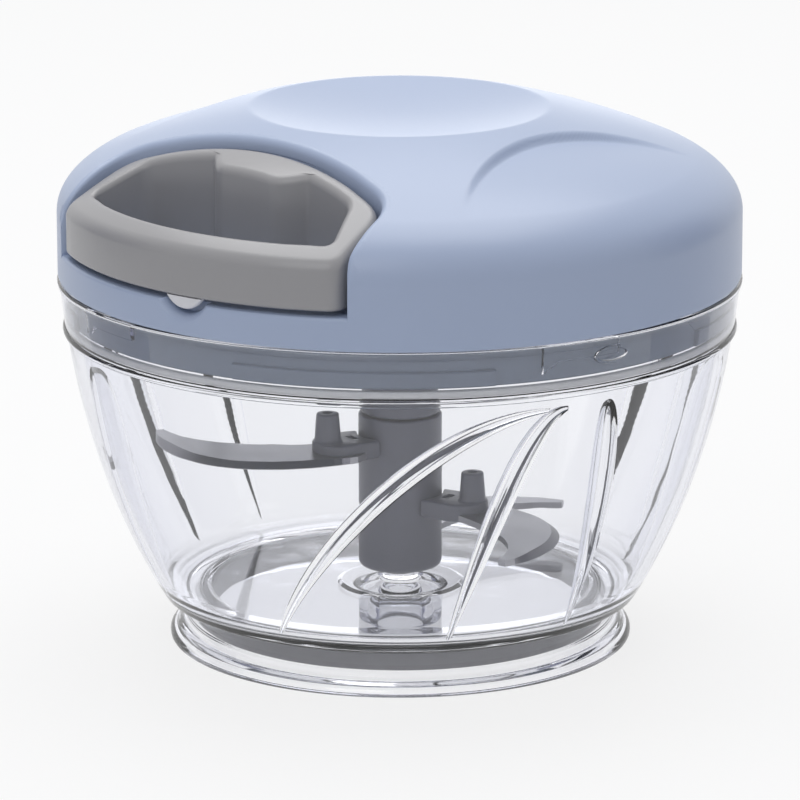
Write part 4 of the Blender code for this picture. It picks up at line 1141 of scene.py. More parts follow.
    def underneath(self) -> list[Sequence[float]]:
        """Draw the section from the hollow of the pin over the boss to the inside of the foot."""
        under = self.floor_top - self.floor
        flange, low = self.foot_flange, self.foot_clear
        foot = self.foot_waist - self.foot_wall
        boss, seat = self.boss_r, self.boss_z
        points: list[Sequence[float]] = [(0.0, self.pin_top), (0.0, 7.6)]
        points += bend((0.6, 7.6), (3.8, 7.4), (4.0, 5.0), 8) + [(4.3, seat)]
        points += bend((boss - 0.8, seat), (boss, seat), (boss, seat + 0.8), 4)
        points += bend((boss + 0.2, under - 0.8), (boss + 0.3, under), (boss + 1.4, under), 4)
        points += bend((foot - 1.4, under), (foot, under), (foot, under - 1.2), 5)
        points += bend((foot, 3.2), (foot, 2.0), (foot + 1.2, 1.5), 5)
        points += bend((flange - 2.4, 0.9), (flange - 2.0, low), (flange - 1.6, low), 4)
        return points

    def rib_point(self, azimuth: float, turn: float, share: float) -> Vector:
        """Find a point of one rib's path on the inside of the wall."""
        height = self.rib_low + (self.rib_high - self.rib_low) * math.sin(share * math.pi / 2)
        return polar(self.wall_radius(height, self.wall), azimuth + turn * share, height)

    def rib(self, azimuth: float, turn: float) -> bpy.types.Object:
        """Loft one rounded rib that fades out at both ends.

        Args:
            azimuth: Azimuth of its foot in degrees.
            turn: How far it sweeps round.

        Returns:
            The rib, reaching into the wall.
        """
        rows = []
        last = 55
        for station in range(last + 1):
            share = 0.985 * station / last
            here = self.rib_point(azimuth, turn, share)
            ahead = (self.rib_point(azimuth, turn, share + 0.01) - here).normalized()
            outward = Vector((here.x, here.y, 0.0)).normalized()
            outward = (outward - ahead * outward.dot(ahead)).normalized()
            across = ahead.cross(outward)
            fade = math.sin(math.pi * (0.03 + 0.94 * share)) ** 0.9
            ring = []
            for step in range(15):
                angle = math.pi * step / 14
                side = across * (-math.cos(angle)) * self.rib_width / 2 * (0.08 + 0.92 * fade)
                depth = self.rib_depth * fade * math.sin(angle) ** 0.8 - 0.2
                ring.append(here + side - outward * depth)
            root = across * self.rib_width * 0.3 * (0.1 + 0.9 * fade)
            ring += [here + root + outward * 1.2, here - root + outward * 1.2]
            rows.append(ring)
        return Bench.lofted("rib", rows)

    def ledges(self) -> list[bpy.types.Object]:
        """Loft the four ledges inside the rim, each with its stop."""
        made = []
        for quarter in range(4):
            stations = []
            for azimuth, low in self.catch_path:
                block = oblong(self.catch_in, self.catch_out, low, self.catch_top)
                stations.append((azimuth + 90.0 * quarter, block))
            made.append(Bench.swept("ledge", stations))
        return made

    def marks(self) -> list[bpy.types.Object]:
        """Raise the two oval marks outside the rim, over two of the ledges."""
        made = []
        foot = self.band[0] + self.rim_foot
        lean = self.rim[0] - self.band[0] - self.rim_foot
        for quarter in (0, 2):
            rows = []
            for inset, lift in self.mark_section:
                ring = []
                for step in range(40):
                    angle = math.tau * step / 40
                    along = (self.mark_half[0] - inset) * math.cos(angle)
                    turn = self.mark_at[0] + 90.0 * quarter + math.degrees(along / self.mark_r)
                    height = self.mark_at[1] + (self.mark_half[1] - inset) * math.sin(angle)
                    slope = (height - self.band[1]) / (self.rim[1] - self.band[1])
                    ring.append(polar(foot + lean * slope + lift, turn, height))
                rows.append(ring)
            made.append(Bench.lofted("mark", rows))
        return made

    def foot_ring(self) -> bpy.types.Object:
        """Turn the soft ring that fills the upper part of the foot."""
        outer = self.foot_waist - self.foot_wall - self.ring_gap
        inner = outer - self.ring_width
        top = self.floor_top - self.floor - self.ring_gap
        low = self.ring_low
        profile = bend((outer - 0.5, low), (outer, low), (outer, low + 0.5), 3)
        profile += bend((outer, top - 0.4), (outer, top), (outer - 0.4, top), 3)
        profile += bend((inner + 0.4, top), (inner, top), (inner, top - 0.4), 3)
        profile += bend((inner, low + 0.5), (inner, low), (inner + 0.5, low), 3)
        groove = low + 0.35
        profile += [(outer - 2.1, low), (outer - 1.9, groove)]
        profile += [(outer - 1.1, groove), (outer - 0.9, low)]
        return Bench.turned("foot_ring", profile, self.steps)

    def build(self, maker: Maker) -> None:
        """Make the bowl and the soft ring in its foot."""
        bowl = Bench.turned("clear_bowl", self.section(), self.steps)
        for pair in self.ribs:
            Bench.combine(bowl, self.rib(*pair), Cut.JOIN)
        Bench.combine(bowl, Bench.joined(self.ledges()), Cut.JOIN)
        Bench.combine(bowl, Bench.joined(self.marks()), Cut.JOIN)
        maker.finish(bowl, "clear", "bowl", ["bowl"], 40.0)
        maker.finish(self.foot_ring(), "ring", "bowl", ["nonslip_ring"])


# rotor


@dataclass
class Rotor:
    """The blade unit: shaft, three arms with their posts, and three ground blades."""

    shaft_r: float = 8.0
    bottom: float = 13.8
    top: float = 43.8
    bore: float = 3.9
    web: float = 34.0
    socket: Point2 = (4.2, 6.2)
    socket_depth: float = 7.3
    tops: tuple[float, float, float] = (38.2, 26.6, 17.6)
    reach: tuple[float, float, float] = (48.0, 46.0, 44.5)
    swing: tuple[float, float, float] = (0.0, 3.0, -9.0)
    azimuths: tuple[float, float, float] = (-107.0, 13.0, 133.0)
    names: tuple[str, str, str] = ("top", "middle", "bottom")
    arm: float = 3.4
    arm_drop: float = 1.5
    arm_end: Point2 = (13.3, 5.3)
    thickness: float = 1.2
    ground: float = 1.5
    post_at: float = 15.9
    post_height: float = 5.6
    mark: tuple[float, float, float, float] = (9.8, 11.4, -1.6, 1.6)
    mark_depth: float = 0.5
    edge_curve: tuple[Point2, Point2, Point2] = ((13.0, 6.6), (38.0, 5.6), (40.6, -15.0))
    tip_curve: tuple[Point2, Point2, Point2] = ((40.6, -15.0), (41.3, -24.0), (37.6, -29.8))
    back_curve: tuple[Point2, Point2, Point2] = ((36.0, -29.6), (36.0, -14.0), (13.0, -4.6))

    def shaft(self) -> bpy.types.Object:
        """Turn the shaft with its bore, and cut the dog socket in its top."""
        side, low, top, bore, web = self.shaft_r, self.bottom, self.top, self.bore, self.web
        profile = [(bore, low + 0.4), (bore + 0.4, low)]
        profile += bend((side - 1.3, low), (side, low), (side, low + 1.3), 5)
        profile += bend((side, top - 0.4), (side, top), (side - 0.4, top), 4)
        profile += [(0.0, top), (0.0, web), (bore - 1.0, web), (bore, web - 1.0)]
        shaft = Bench.turned("rotor_shaft", profile, 96)
        outline = lobed(65.0, 50.0, self.socket, 14)
        socket = Bench.prism("socket", outline, top - self.socket_depth, top + 1.0)
        Bench.combine(shaft, socket, Cut.REMOVE)
        return shaft

    def arm_body(self, index: int) -> bpy.types.Object:
        """Model one arm: a rounded tongue with a post and a moulding mark.

        Args:
            index: Which arm, from the top.

        Returns:
            The arm along +X, before it is turned to its azimuth.
        """
        low = self.tops[index] - self.arm_drop
        high = low + self.arm
        start = self.shaft_r + 0.3
        outline = sweep((0.0, 0.0), start, 34.0, -34.0, 12) + [Vector((start + 2.4, -5.0, 0.0))]
        outline += sweep((self.arm_end[0], 0.0), self.arm_end[1], -72.0, 72.0, 18)
        outline += [Vector((start + 2.4, 5.0, 0.0))]
        arm = Bench.prism("rotor_arm_" + self.names[index], outline, low, high)
        Bench.bevel(arm, 0.5, 50.0)
        tip = high + self.post_height
        post = [(0.0, high - 1.0), (2.9, high - 1.0)]
        post += bend((2.9, high + 0.1), (2.55, high + 0.15), (2.5, high + 0.8), 4)
        post += bend((2.15, tip - 0.4), (2.1, tip), (1.7, tip), 4)
        post += [(1.0, tip), (0.8, tip - 1.2), (0.0, tip - 1.2)]
        stub = Bench.turned("post", post, 48)
        Bench.put(stub, (self.post_at, 0.0, 0.0))
        Bench.combine(arm, stub, Cut.JOIN)
        mark = Bench.prism("mark", oblong(*self.mark), high - self.mark_depth, high + 1.0)
        Bench.combine(arm, mark, Cut.REMOVE)
        return arm

    def blade(self, index: int, maker: Maker) -> bpy.types.Object:
        """Loft one swept blade with a ground face along its leading edge.

        Args:
            index: Which blade, from the top.
            maker: Source of the finishes.

        Returns:
            The blade along +X.
        """
        size = self.reach[index] / self.reach[0]
        lead = bend(*self.edge_curve, 30) + bend(*self.tip_curve, 12)[1:]
        edge = level(point * size for point in lead)
        back = level(point * size for point in bend(*self.back_curve, 26))
        root = self.shaft_r + 1.3
        back += level(((root, -4.4), (root, 4.4)))
        upper = []
        last = len(edge) - 1
        for position, point in enumerate(edge):
            ahead = (edge[min(position + 1, last)] - edge[max(position - 1, 0)]).normalized()
            inward = Vector((ahead.y, -ahead.x, 0.0))
            fade = softened(min(1.0, (last - position) / 9.0, position / 6.0))
            upper.append(point + inward * self.ground * fade)
        high = self.tops[index]
        low = high - self.thickness
        rows = []
        for front, height in ((edge, low), (edge, low + 0.12), (upper, high)):
            rows.append(level(front + back, height)[::-1])
        blade = Bench.lofted("rotor_blade_" + self.names[index], rows)
        blade.data.materials.append(maker.finishes.get("blade"))
        blade.data.materials.append(maker.finishes.get("edge"))
        # Tilted faces, the ground bevel along the edge, take the darker steel of painted shade
        for face in blade.data.polygons:
            face.material_index = 1 if 0.15 < face.normal.z < 0.97 else 0
        return blade

    def build(self, maker: Maker) -> None:
        """Make the whole rotor."""
        maker.finish(self.shaft(), "rotor", "rotor", ["blade_shaft"])
        for index, name in enumerate(self.names):
            arm = self.arm_body(index)
            Bench.turn(arm, self.azimuths[index])
            maker.finish(arm, "rotor", "rotor", ["blade_arm_" + name])
            blade = self.blade(index, maker)
            Bench.turn(blade, self.azimuths[index] + self.swing[index])
            maker.finish(blade, "blade", "rotor", ["blade_" + name], 12.0)


# handle and lid form


@dataclass
class LidForm:
    """The lid's outer surface: a dome with a full shoulder, a round dish and two thumb hollows."""

    radius: float = 65.0
    crown: float = 106.55
    dome_r: float = 126.0
    shoulder_z: float = 83.7
    shoulder_r: float = 56.85
    fullness: float = 0.574
    dish_r: float = 28.3
    dish_z: float = 100.6
    crease: float = 0.45
    hollow_r: float = 55.2
    hollow_at: Point2 = (89.1, 2.0)
    hollow_depth: float = 1.5
    hollow_edge: float = 1.3
    hollow_inner: float = 34.0
    hollow_outer: float = 57.0

    def dome(self, radius: float) -> float:
        """Height of the plain dome."""
        return self.crown - radius * radius / (2.0 * self.dome_r)

    def raw(self, radius: float) -> float:
        """Height of the dome with its shoulder and dish, before the crease is softened."""
        if radius >= self.shoulder_r:
            top = self.dome(self.shoulder_r)
            middle = self.shoulder_z + (top - self.shoulder_z) * self.fullness
            t = math.sqrt(max(0.0, (self.radius - radius) / (self.radius - self.shoulder_r)))
            return self.shoulder_z * (1 - t) ** 2 + middle * 2 * t * (1 - t) + top * t * t
        if radius >= self.dish_r:
            return self.dome(radius)
        return self.dish_z + (self.dome(self.dish_r) - self.dish_z) * (radius / self.dish_r) ** 2

    def height(self, radius: float) -> float:
        """Height of the finished surface at one radius."""
        if abs(radius - self.dish_r) > 2.0 * self.crease:
            return self.raw(radius)
        shifts = (-1.0, -0.5, 0.0, 0.5, 1.0)
        return sum(self.raw(radius + self.crease * shift) for shift in shifts) / len(shifts)

    def hollow(self, x: float, y: float) -> float:
        """Depth of the thumb hollows at one point."""
        width = self.hollow_outer - self.hollow_inner
        ease = softened((self.hollow_outer - math.hypot(x, y)) / width)
        gap = math.hypot(abs(x) - self.hollow_at[0], y - self.hollow_at[1])
        edge = softened((self.hollow_r + self.hollow_edge / 2 - gap) / self.hollow_edge)
        return self.hollow_depth * ease * edge

    def over(self, x: float, y: float) -> float:
        """Height of the lid over one point, carried on steeply past its side."""
        radius = math.hypot(x, y)
        if radius > self.radius:
            return self.shoulder_z - (radius - self.radius) * 2.0
        return self.height(radius) - self.hollow(x, y)


@dataclass
class PullHandle:
    """The ring-shaped handle with its cord boss, and the tab below it."""

    front_r: float = 64.8
    half_angle: float = 33.0
    rear_y: float = -35.0
    rear_curve: float = 130.0
    rear_half: float = 33.0
    bottom: float = 78.7
    crown: float = 105.6
    dome_r: float = 115.8
    bar: float = 5.2
    side: float = 4.6
    side_rear: float = 7.0
    back: float = 3.4
    corner_radii: Point2 = (2.8, 6.0)
    opening_radii: Point2 = (1.9, 4.6)
    top_rounding: Point2 = (1.7, 1.4)
    foot_rounding: float = 0.8
    boss_at: float = 1.4
    boss_half: float = 12.2
    boss_ramp: float = 6.5
    boss_depth: float = 4.4
    slot_half: Point2 = (3.1, 2.6)
    tab_r: float = 4.9
    tab_depth: float = 1.8
    tab_y: float = -64.5
    tab_rise: float = 2.5
    tab_turn: float = 5.4
    tab_clear: float = 0.05
    cord_z: float = 84.0
    cord_r: float = 1.2
    samples: int = 360

    def arcs(self) -> tuple[list[Vector], list[Vector]]:
        """Draw the front and rear curves of the outer edge, counter-clockwise."""
        turn = self.half_angle
        front = sweep((0.0, 0.0), self.front_r, -90.0 - turn, -90.0 + turn, 40)
        angle = math.degrees(math.asin(self.rear_half / self.rear_curve))
        centre = (0.0, self.rear_y - self.rear_curve)
        return front, sweep(centre, self.rear_curve, 90.0 - angle, 90.0 + angle, 24)

    def outline(self) -> list[Vector]:
        """Draw the outer edge in plan."""
        return joined_arcs(self.arcs(), (3, 4), self.corner_radii)

    def opening(self) -> list[Vector]:
        """Draw the finger opening in plan, with the boss swelling into it."""
        front, rear = self.arcs()
        radius = self.front_r - self.bar
        half = math.degrees(math.asin((front[-1].x - self.side) / radius))
        bar = sweep((0.0, 0.0), radius, -90.0 - half, -90.0 + half, 40)
        inner = self.rear_curve - self.back
        reach = rear[0].x - self.side_rear
        steps = 160
        wall = []
        for step in range(steps + 1):
            x = reach - 2.0 * reach * step / steps
            rise = min(1.0, max(0.0, (self.boss_half - abs(x - self.boss_at)) / self.boss_ramp))
            swell = self.boss_depth * math.sin(rise * math.pi / 2)
            y = self.rear_y - self.rear_curve + math.sqrt(inner * inner - x * x) - swell
            wall.append(Vector((x, y, 0.0)))
        return joined_arcs((bar, wall), (5, 14), self.opening_radii)

    def top(self, x: float, y: float) -> float:
        """Height of the handle's top face over one point."""
        return self.crown - (x * x + y * y) / (2.0 * self.dome_r)

    def ring(self) -> bpy.types.Object:
        """Loft the ring through its rounded edges, outside and inside."""
        outer = paced(self.outline(), self.samples)
        inner = paced(self.opening(), self.samples)

        def edge(loop: list[Vector], sign: float, rounding: float) -> list[list[Vector]]:
            """Stack the rings of one wall from its foot to its top rounding."""
            stack = []
            foot = self.foot_rounding
            for step in range(5):
                angle = math.pi / 2 * step / 4
                moved = offset(loop, sign * foot * (1.0 - math.sin(angle)))
                stack.append(level(moved, self.bottom + foot * (1.0 - math.cos(angle))))
            for step in range(9):
                angle = math.pi / 2 * step / 8
                moved = offset(loop, sign * rounding * (1.0 - math.cos(angle)))
                drop = rounding * (1.0 - math.sin(angle))
                stack.append([Vector((p.x, p.y, self.top(p.x, p.y) - drop)) for p in moved])
            return stack

        outside, inside = self.top_rounding
        rows = edge(outer, -1.0, outside) + edge(inner, 1.0, inside)[::-1]
        return Bench.lofted("pull_ring", rows, closed=True)

    def tab(self) -> bpy.types.Object:
        """Turn the pale tab under the handle, cut flat along the handle's bottom."""
        rim, depth = self.tab_r, self.tab_depth
        profile = [(0.0, 0.0), (4.0, 0.0)] + bend((4.0, 0.0), (rim, 0.0), (rim, 0.8), 8)[1:]
        profile += bend((rim, 1.0), (rim, 1.7), (4.2, depth), 5) + [(0.0, depth)]
        tab = Bench.turned("finger_tab", profile, 96)
        Bench.put(tab, (0.0, self.tab_y, self.bottom + self.tab_rise), -90.0)
        low = self.bottom - self.tab_clear
        trim = Bench.prism("trim", oblong(-6.0, 6.0, -66.0, -60.0), low, low + 9.0)
        Bench.combine(tab, trim, Cut.REMOVE)
        Bench.turn(tab, self.tab_turn)
        return tab

    def build(self, maker: Maker) -> None:
        """Make the handle with the slot and hole of its cord, and its tab."""
        ring = self.ring()
        knot = self.rear_y - (self.back + self.boss_depth) / 2
        right, far = self.slot_half
        slot = oblong(-right, right, knot - far, knot + far)
        top = self.cord_z + 4.0
        Bench.combine(ring, Bench.prism("slot", slot, self.bottom - 2.0, top), Cut.REMOVE)
        start, end = (0.0, knot, self.cord_z), (0.0, self.rear_y + 2.0, self.cord_z)
        Bench.combine(ring, Bench.bar("hole", self.cord_r + 0.4, start, end, 32), Cut.REMOVE)
        maker.finish(ring, "grey", "handle", ["pull_handle"], 38.0)
        maker.finish(self.tab(), "pale", "handle")
        maker.dress("cord_knot", "cord")


@dataclass
class LidCover:
    """The domed blue cover with its dish, thumb hollows and handle pocket."""

    form: LidForm
    handle: PullHandle
    bottom: float = 71.5
    wall: float = 2.4
    inner_r: float = 62.6
    upper_r: float = 61.7
    step_z: float = 73.7
    gap: float = 0.8
    under: float = 0.95
    flare: float = 0.22
    liner: float = 1.8
    liner_r: float = 63.8
    liner_drop: float = 1.3
    lip: float = 1.3
    beyond: float = 72.0
    flare_from: float = 62.3
    flare_most: float = 3.5
    fine: float = 0.45
    coarse: float = 1.7
    coarsest: float = 6.0
    cord_hole: float = 3.0
    cord_hole_y: Point2 = (-37.0, -30.0)
    notch: tuple[Point2, ...] = (
        (0.0, 61.8),
        (0.0, 67.0),
        (11.0, 67.0),
        (8.2, 65.3),
        (7.0, 64.9),
        (6.2, 64.2),
        (5.8, 63.2),
        (5.7, 61.8),
    )
    steps: int = 480

    def shell(self) -> bpy.types.Object:
        """Turn the cover and press the thumb hollows into it."""
        form = self.form
        side, low, step_z = form.radius, self.bottom, self.step_z
        points: list[Sequence[float]] = []
        points += [(side - 0.5, low), (side - 0.15, low + 0.12), (side, low + 0.5)]
        points += [(side, 75.0), (side, 79.0), (side, form.shoulder_z)]
        for step in range(1, 21):
            radius = form.radius - (form.radius - form.shoulder_r) * (step / 20) ** 2
            points.append((radius, form.raw(radius)))
        radius = form.shoulder_r - self.fine
        for stop, stride in ((form.dish_r - 1.2, self.fine), (0.8, self.coarse)):
            while radius > stop:
                points.append((radius, form.height(radius)))
                radius -= stride
        points.append((0.0, form.height(0.0)))
        points.append((0.0, form.height(0.0) - self.wall))
        radius = self.coarsest
        while radius < self.upper_r - 1.0:
            points.append((radius, form.height(radius) - self.wall))
            radius += self.coarsest
        points += [(self.upper_r, 84.0), (self.upper_r, step_z)]
        points += [(self.inner_r, step_z), (self.inner_r, low)]
        shell = Bench.turned("domed_cover", points, self.steps)
        for vertex in shell.data.vertices:
            place = vertex.co / MM
            if place.z > step_z and math.hypot(place.x, place.y) < form.hollow_outer:
                vertex.co.z -= form.hollow(place.x, place.y) * MM
        return shell

    def pocket_outline(self, grow: float, reach: float) -> list[Vector]:
        """Draw the pocket in plan.

        Args:
            grow: Room around the handle.
            reach: Radius where the sides stop.

        Returns:
            The outline, counter-clockwise from the front left.
        """
        arcs = self.handle.arcs()
        front, rear = arcs[0][-1], arcs[1][0]
        middle = (front.y + rear.y) / 2
        behind = [p for p in offset(self.handle.outline(), grow) if p.y > middle]
        ahead = (front - rear).normalized()
        start = behind[0]
        run = start.copy()
        while math.hypot(run.x, run.y) < reach:
            run = run + ahead * 0.05
        side = [run.lerp(start, step / 24) for step in range(24)]
        for point in side:
            past = max(0.0, math.hypot(point.x, point.y) - self.flare_from)
            point.x += math.copysign(min(self.flare_most, self.flare * past ** 2), point.x)
        mirror = [Vector((-p.x, p.y, 0.0)) for p in side[::-1]]
        turn = math.degrees(math.atan2(run.y, run.x))
        nose = sweep((0.0, 0.0), reach, -180.0 - turn, turn, 30)[1:-1]
        return side + behind + mirror + nose

    def liner_block(self) -> bpy.types.Object:
        """Block out the walls and the ledge of the pocket, inside the cover."""
        outline = self.pocket_outline(self.gap + self.liner, self.liner_r)
        low = self.handle.bottom - self.under - self.liner
        over = [self.form.over(point.x, point.y) - self.liner_drop for point in outline]
        top = [Vector((p.x, p.y, max(low + 1.0, z))) for p, z in zip(outline, over)]
        return Bench.lofted("liner", [level(outline, low), top])

    def pocket(self) -> bpy.types.Object:
        """Shape the cutter of the pocket, with a rolled lip where it meets the dome."""
        outline = self.pocket_outline(self.gap, self.beyond)
        floor = self.handle.bottom - self.under
        rows = [level(outline, floor)]

        def under_dome(amount: float, drop: float) -> list[Vector]:
            """Place one ring at an outward distance and a depth under the surface."""
            moved = offset(outline, amount)
            over = [self.form.over(point.x, point.y) - drop for point in moved]
            return [Vector((p.x, p.y, max(floor + 0.2, z))) for p, z in zip(moved, over)]

        for step in range(8):
            angle = math.pi / 2 * step / 7
            out, drop = self.lip * (1.0 - math.cos(angle)), self.lip * (1.0 - math.sin(angle))
            rows.append(under_dome(out, drop))
        rows.append(under_dome(self.lip + 0.5, -0.35))
        rows.append(level(offset(outline, self.lip + 0.5), self.form.crown + 5.45))
        for lower, upper in zip(rows, rows[1:]):
            for first, second in zip(lower, upper):
                second.z = max(second.z, first.z + 0.01)
        return Bench.lofted("pocket", rows)

    def ledge_rounding(self) -> bpy.types.Object:
        """Shape the cutter that rounds the outer edge of the ledge under the handle."""
        floor = self.handle.bottom - self.under
        side = self.form.radius
        section: list[Sequence[float]] = [(side - 0.9, floor + 0.3), (side - 0.9, floor - 0.02)]
        section += bend((side - 0.8, floor - 0.02), (side, floor), (side + 0.02, floor - 0.9), 6)
        section += [(side + 1.0, floor - 0.9), (side + 1.0, floor + 0.3)]
        left = [point for point in self.pocket_outline(self.gap, self.beyond) if point.x < 0]
        spot = min(left, key=lambda point: abs(math.hypot(point.x, point.y) - side))
        start = math.degrees(math.atan2(spot.y, spot.x))
        end = -180.0 - start
        angles = [start + (end - start) * step / 96 for step in range(97)]
        return Bench.swept("rounding", [(angle, section) for angle in angles])

    def build(self, maker: Maker) -> None:
        """Make the cover."""
        shell = self.shell()
        Bench.combine(shell, self.liner_block(), Cut.JOIN)
        Bench.combine(shell, self.pocket(), Cut.REMOVE)
        notch = Bench.turned("notch", self.notch, 96)
        Bench.put(notch, (0.0, 0.0, self.handle.bottom + self.handle.tab_rise), 90.0)
        Bench.turn(notch, self.handle.tab_turn)
        Bench.combine(shell, notch, Cut.REMOVE)
        Bench.combine(shell, self.ledge_rounding(), Cut.REMOVE)
        start, end = ((0.0, y, self.handle.cord_z) for y in self.cord_hole_y)
        Bench.combine(shell, Bench.bar("hole", self.cord_hole, start, end, 40), Cut.REMOVE)
        maker.finish(shell, "blue", "lid", ["lid_cover"], 42.0)


# underside and works


@dataclass
class Underside:
    """What shows under the lid: base with lugs, seal, bush, drive hub and screws."""

    skirt_r: float = 61.4
    skirt_wall: float = 1.6
    skirt_low: float = 64.2
    plate_z: float = 66.2
    plate: float = 2.2
    flange: float = 0.9
    flange_low: float = 71.5
    bearing_r: float = 10.4
    bearing_low: float = 58.5
    bore: float = 7.8
    lug_low: float = 64.3
    lug_high: float = 67.4
    lug_r: float = 62.3
    lug_turn: Point2 = (-76.0, 45.0)
    pad_r: float = 61.6
    pad_low: float = 64.25
    pad_high: float = 71.2
    pad_turn: Point2 = (-72.0, 36.5)
    pad_ramps: tuple[tuple[Point2, Point2], tuple[Point2, Point2]] = (
        ((-80.5, 70.9), (-80.0, 70.5)),
        ((-27.5, 70.5), (-27.0, 70.9)),
    )
    hole_r: float = 1.55
    hole_z: Point2 = (64.0, 70.0)
    head: Point2 = (2.8, 1.4)
    thread: Point2 = (1.0, 1.25)
    recess: Point2 = (2.6, 0.7)
    seal_in: float = 60.6
    seal_out: float = 62.3
    seal_z: Point2 = (62.4, 63.8)
    bush: tuple[Point2, ...] = (
        (5.9, 57.3),
        (9.6, 57.3),
        (9.8, 57.5),
        (9.8, 58.2),
        (7.5, 58.2),
        (7.5, 68.4),
        (5.9, 68.4),
    )
    stem: tuple[Point2, ...] = (
        (7.2, 56.4),
        (6.9, 57.0),
        (5.6, 57.0),
        (5.6, 70.2),
        (3.4, 70.2),
        (3.4, 74.8),
        (2.3, 74.8),
        (2.3, 55.0),
        (0.0, 55.0),
    )
    dogs: Point2 = (5.8, 3.8)
    screws: tuple[tuple[str, float, float, float], ...] = (
        ("cover_screw_rear", 50.0, 90.0, 11.0),
        ("cover_screw_left", 50.0, 205.0, 11.0),
        ("cover_screw_right", 50.0, -25.0, 11.0),
        ("housing_screw_rear", 29.0, 90.0, 4.4),
        ("housing_screw_left", 29.0, 210.0, 4.4),
        ("housing_screw_right", 29.0, -30.0, 4.4),
    )

    def lug(self, quarter: int) -> list[bpy.types.Object]:
        """Loft one lug and the thin ramped pad that stands behind it.

        Args:
            quarter: Which lug of the four.

        Returns:
            The lug and the pad.
        """
        base = self.skirt_r - self.skirt_wall / 2
        low, high, far = self.lug_low, self.lug_high, self.lug_r
        section = [(base, low), (far - 0.3, low), (far, low + 0.3)]
        section += [(far, high - 0.3), (far - 0.3, high), (base, high)]
        start, span = self.lug_turn
        turns = [start + span * step / 24 + 90.0 * quarter for step in range(25)]
        lug = Bench.swept("lug", [(turn, section) for turn in turns])
        start, span = self.pad_turn
        path = [(start + span * step / 20, self.pad_low) for step in range(21)]
        stations = []
        for turn, foot in (*self.pad_ramps[0], *path, *self.pad_ramps[1]):
            block = oblong(base, self.pad_r, foot, self.pad_high)
            stations.append((turn + 90.0 * quarter, block))
        return [lug, Bench.swept("pad", stations)]

    def base(self) -> bpy.types.Object:
        """Turn the base, join its lugs and drill it for the screws."""
        skirt, low, plate, flange = self.skirt_r, self.skirt_low, self.plate_z, self.flange_low
        inner = skirt - self.skirt_wall
        top = plate + self.plate
        bearing, foot = self.bearing_r, self.bearing_low
        profile = bend((self.bore, foot), (bearing, foot), (bearing, foot + 0.7), 3)
        profile += bend((bearing + 0.3, plate - 1.0), (bearing + 0.4, plate), (11.8, plate), 4)
        profile += [(20.0, plate), (20.5, plate + 0.3), (22.0, plate + 0.3), (22.5, plate)]
        profile += bend((inner - 1.0, plate), (inner, plate), (inner, plate - 0.8), 4)
        profile += bend((inner, low + 0.3), (inner, low), (inner + 0.3, low), 3)
        profile += bend((skirt - 0.4, low), (skirt, low), (skirt, low + 0.4), 3)
        profile += [(skirt, flange), (skirt + self.flange, flange)]
        profile += [(skirt + self.flange, flange + 1.6), (inner, flange + 1.6)]
        profile += [(inner, top), (self.bore, top)]
        base = Bench.turned("lid_underside", profile, 192)
        for part in [part for quarter in range(4) for part in self.lug(quarter)]:
            Bench.combine(base, part, Cut.JOIN)
        holes = []
        for _, radius, azimuth, _ in self.screws:
            start, end = (tuple(polar(radius, azimuth, height)) for height in self.hole_z)
            holes.append(Bench.bar("hole", self.hole_r, start, end, 24))
        Bench.combine(base, Bench.joined(holes), Cut.REMOVE)
        return base

    def screw(self, length: float) -> bpy.types.Object:
        """Model one pan-head screw with a cross recess, head down.

        Args:
            length: Length of the shank.

        Returns:
            The screw on the axis.
        """
        seat = self.plate_z - 0.3
        side, top = self.head[0], seat - self.head[1]
        core, crest = self.thread
        profile = [(0.0, top)] + bend((side / 2, top), (side, top + 0.1), (side, seat - 0.3), 6)
        profile += [(side, seat), (crest, seat)]
        turns = max(3, int(length / 1.1))
        for turn in range(turns):
            z = seat + 0.6 + (length - 1.6) * turn / turns
            profile += [(core, z), (crest, z + 0.25), (core, z + 0.5)]
        profile += [(0.6, seat + length - 0.4), (0.0, seat + length)]
        screw = Bench.turned("screw", profile, 40)
        for width, depth in (self.recess, self.recess[::-1]):
            cross = oblong(-width / 2, width / 2, -depth / 2, depth / 2)
            Bench.combine(screw, Bench.prism("cross", cross, seat - 2.0, seat - 0.5), Cut.REMOVE)
        return screw

    def hub(self) -> bpy.types.Object:
        """Turn the drive hub and join its two dogs."""
        profile: list[Sequence[float]] = [(0.0, 44.1), (7.1, 44.1)]
        profile += bend((7.1, 44.1), (7.7, 44.1), (7.7, 44.8), 4)
        profile += bend((7.7, 46.0), (7.7, 46.6), (7.2, 46.9), 4)
        profile += self.stem
        hub = Bench.turned("drive_stem", profile, 96)
        outline = lobed(-20.0, 40.0, self.dogs, 12)
        Bench.combine(hub, Bench.prism("dogs", outline, 37.0, 45.1), Cut.JOIN)
        return hub

    def seal(self) -> bpy.types.Object:
        """Turn the sealing ring."""
        inner, outer = self.seal_in, self.seal_out
        low, high = self.seal_z
        profile: list[Sequence[float]] = [(inner + 0.4, low)]
        profile += bend((outer - 0.5, low), (outer, low + 0.1), (outer, low + 0.7), 4)
        profile += bend((outer, low + 0.7), (outer, high - 0.1), (outer - 0.5, high), 4)[1:]
        profile += [(inner + 0.2, high), (inner, high - 0.2), (inner, low + 0.2)]
        return Bench.turned("sealing_ring", profile, 192)

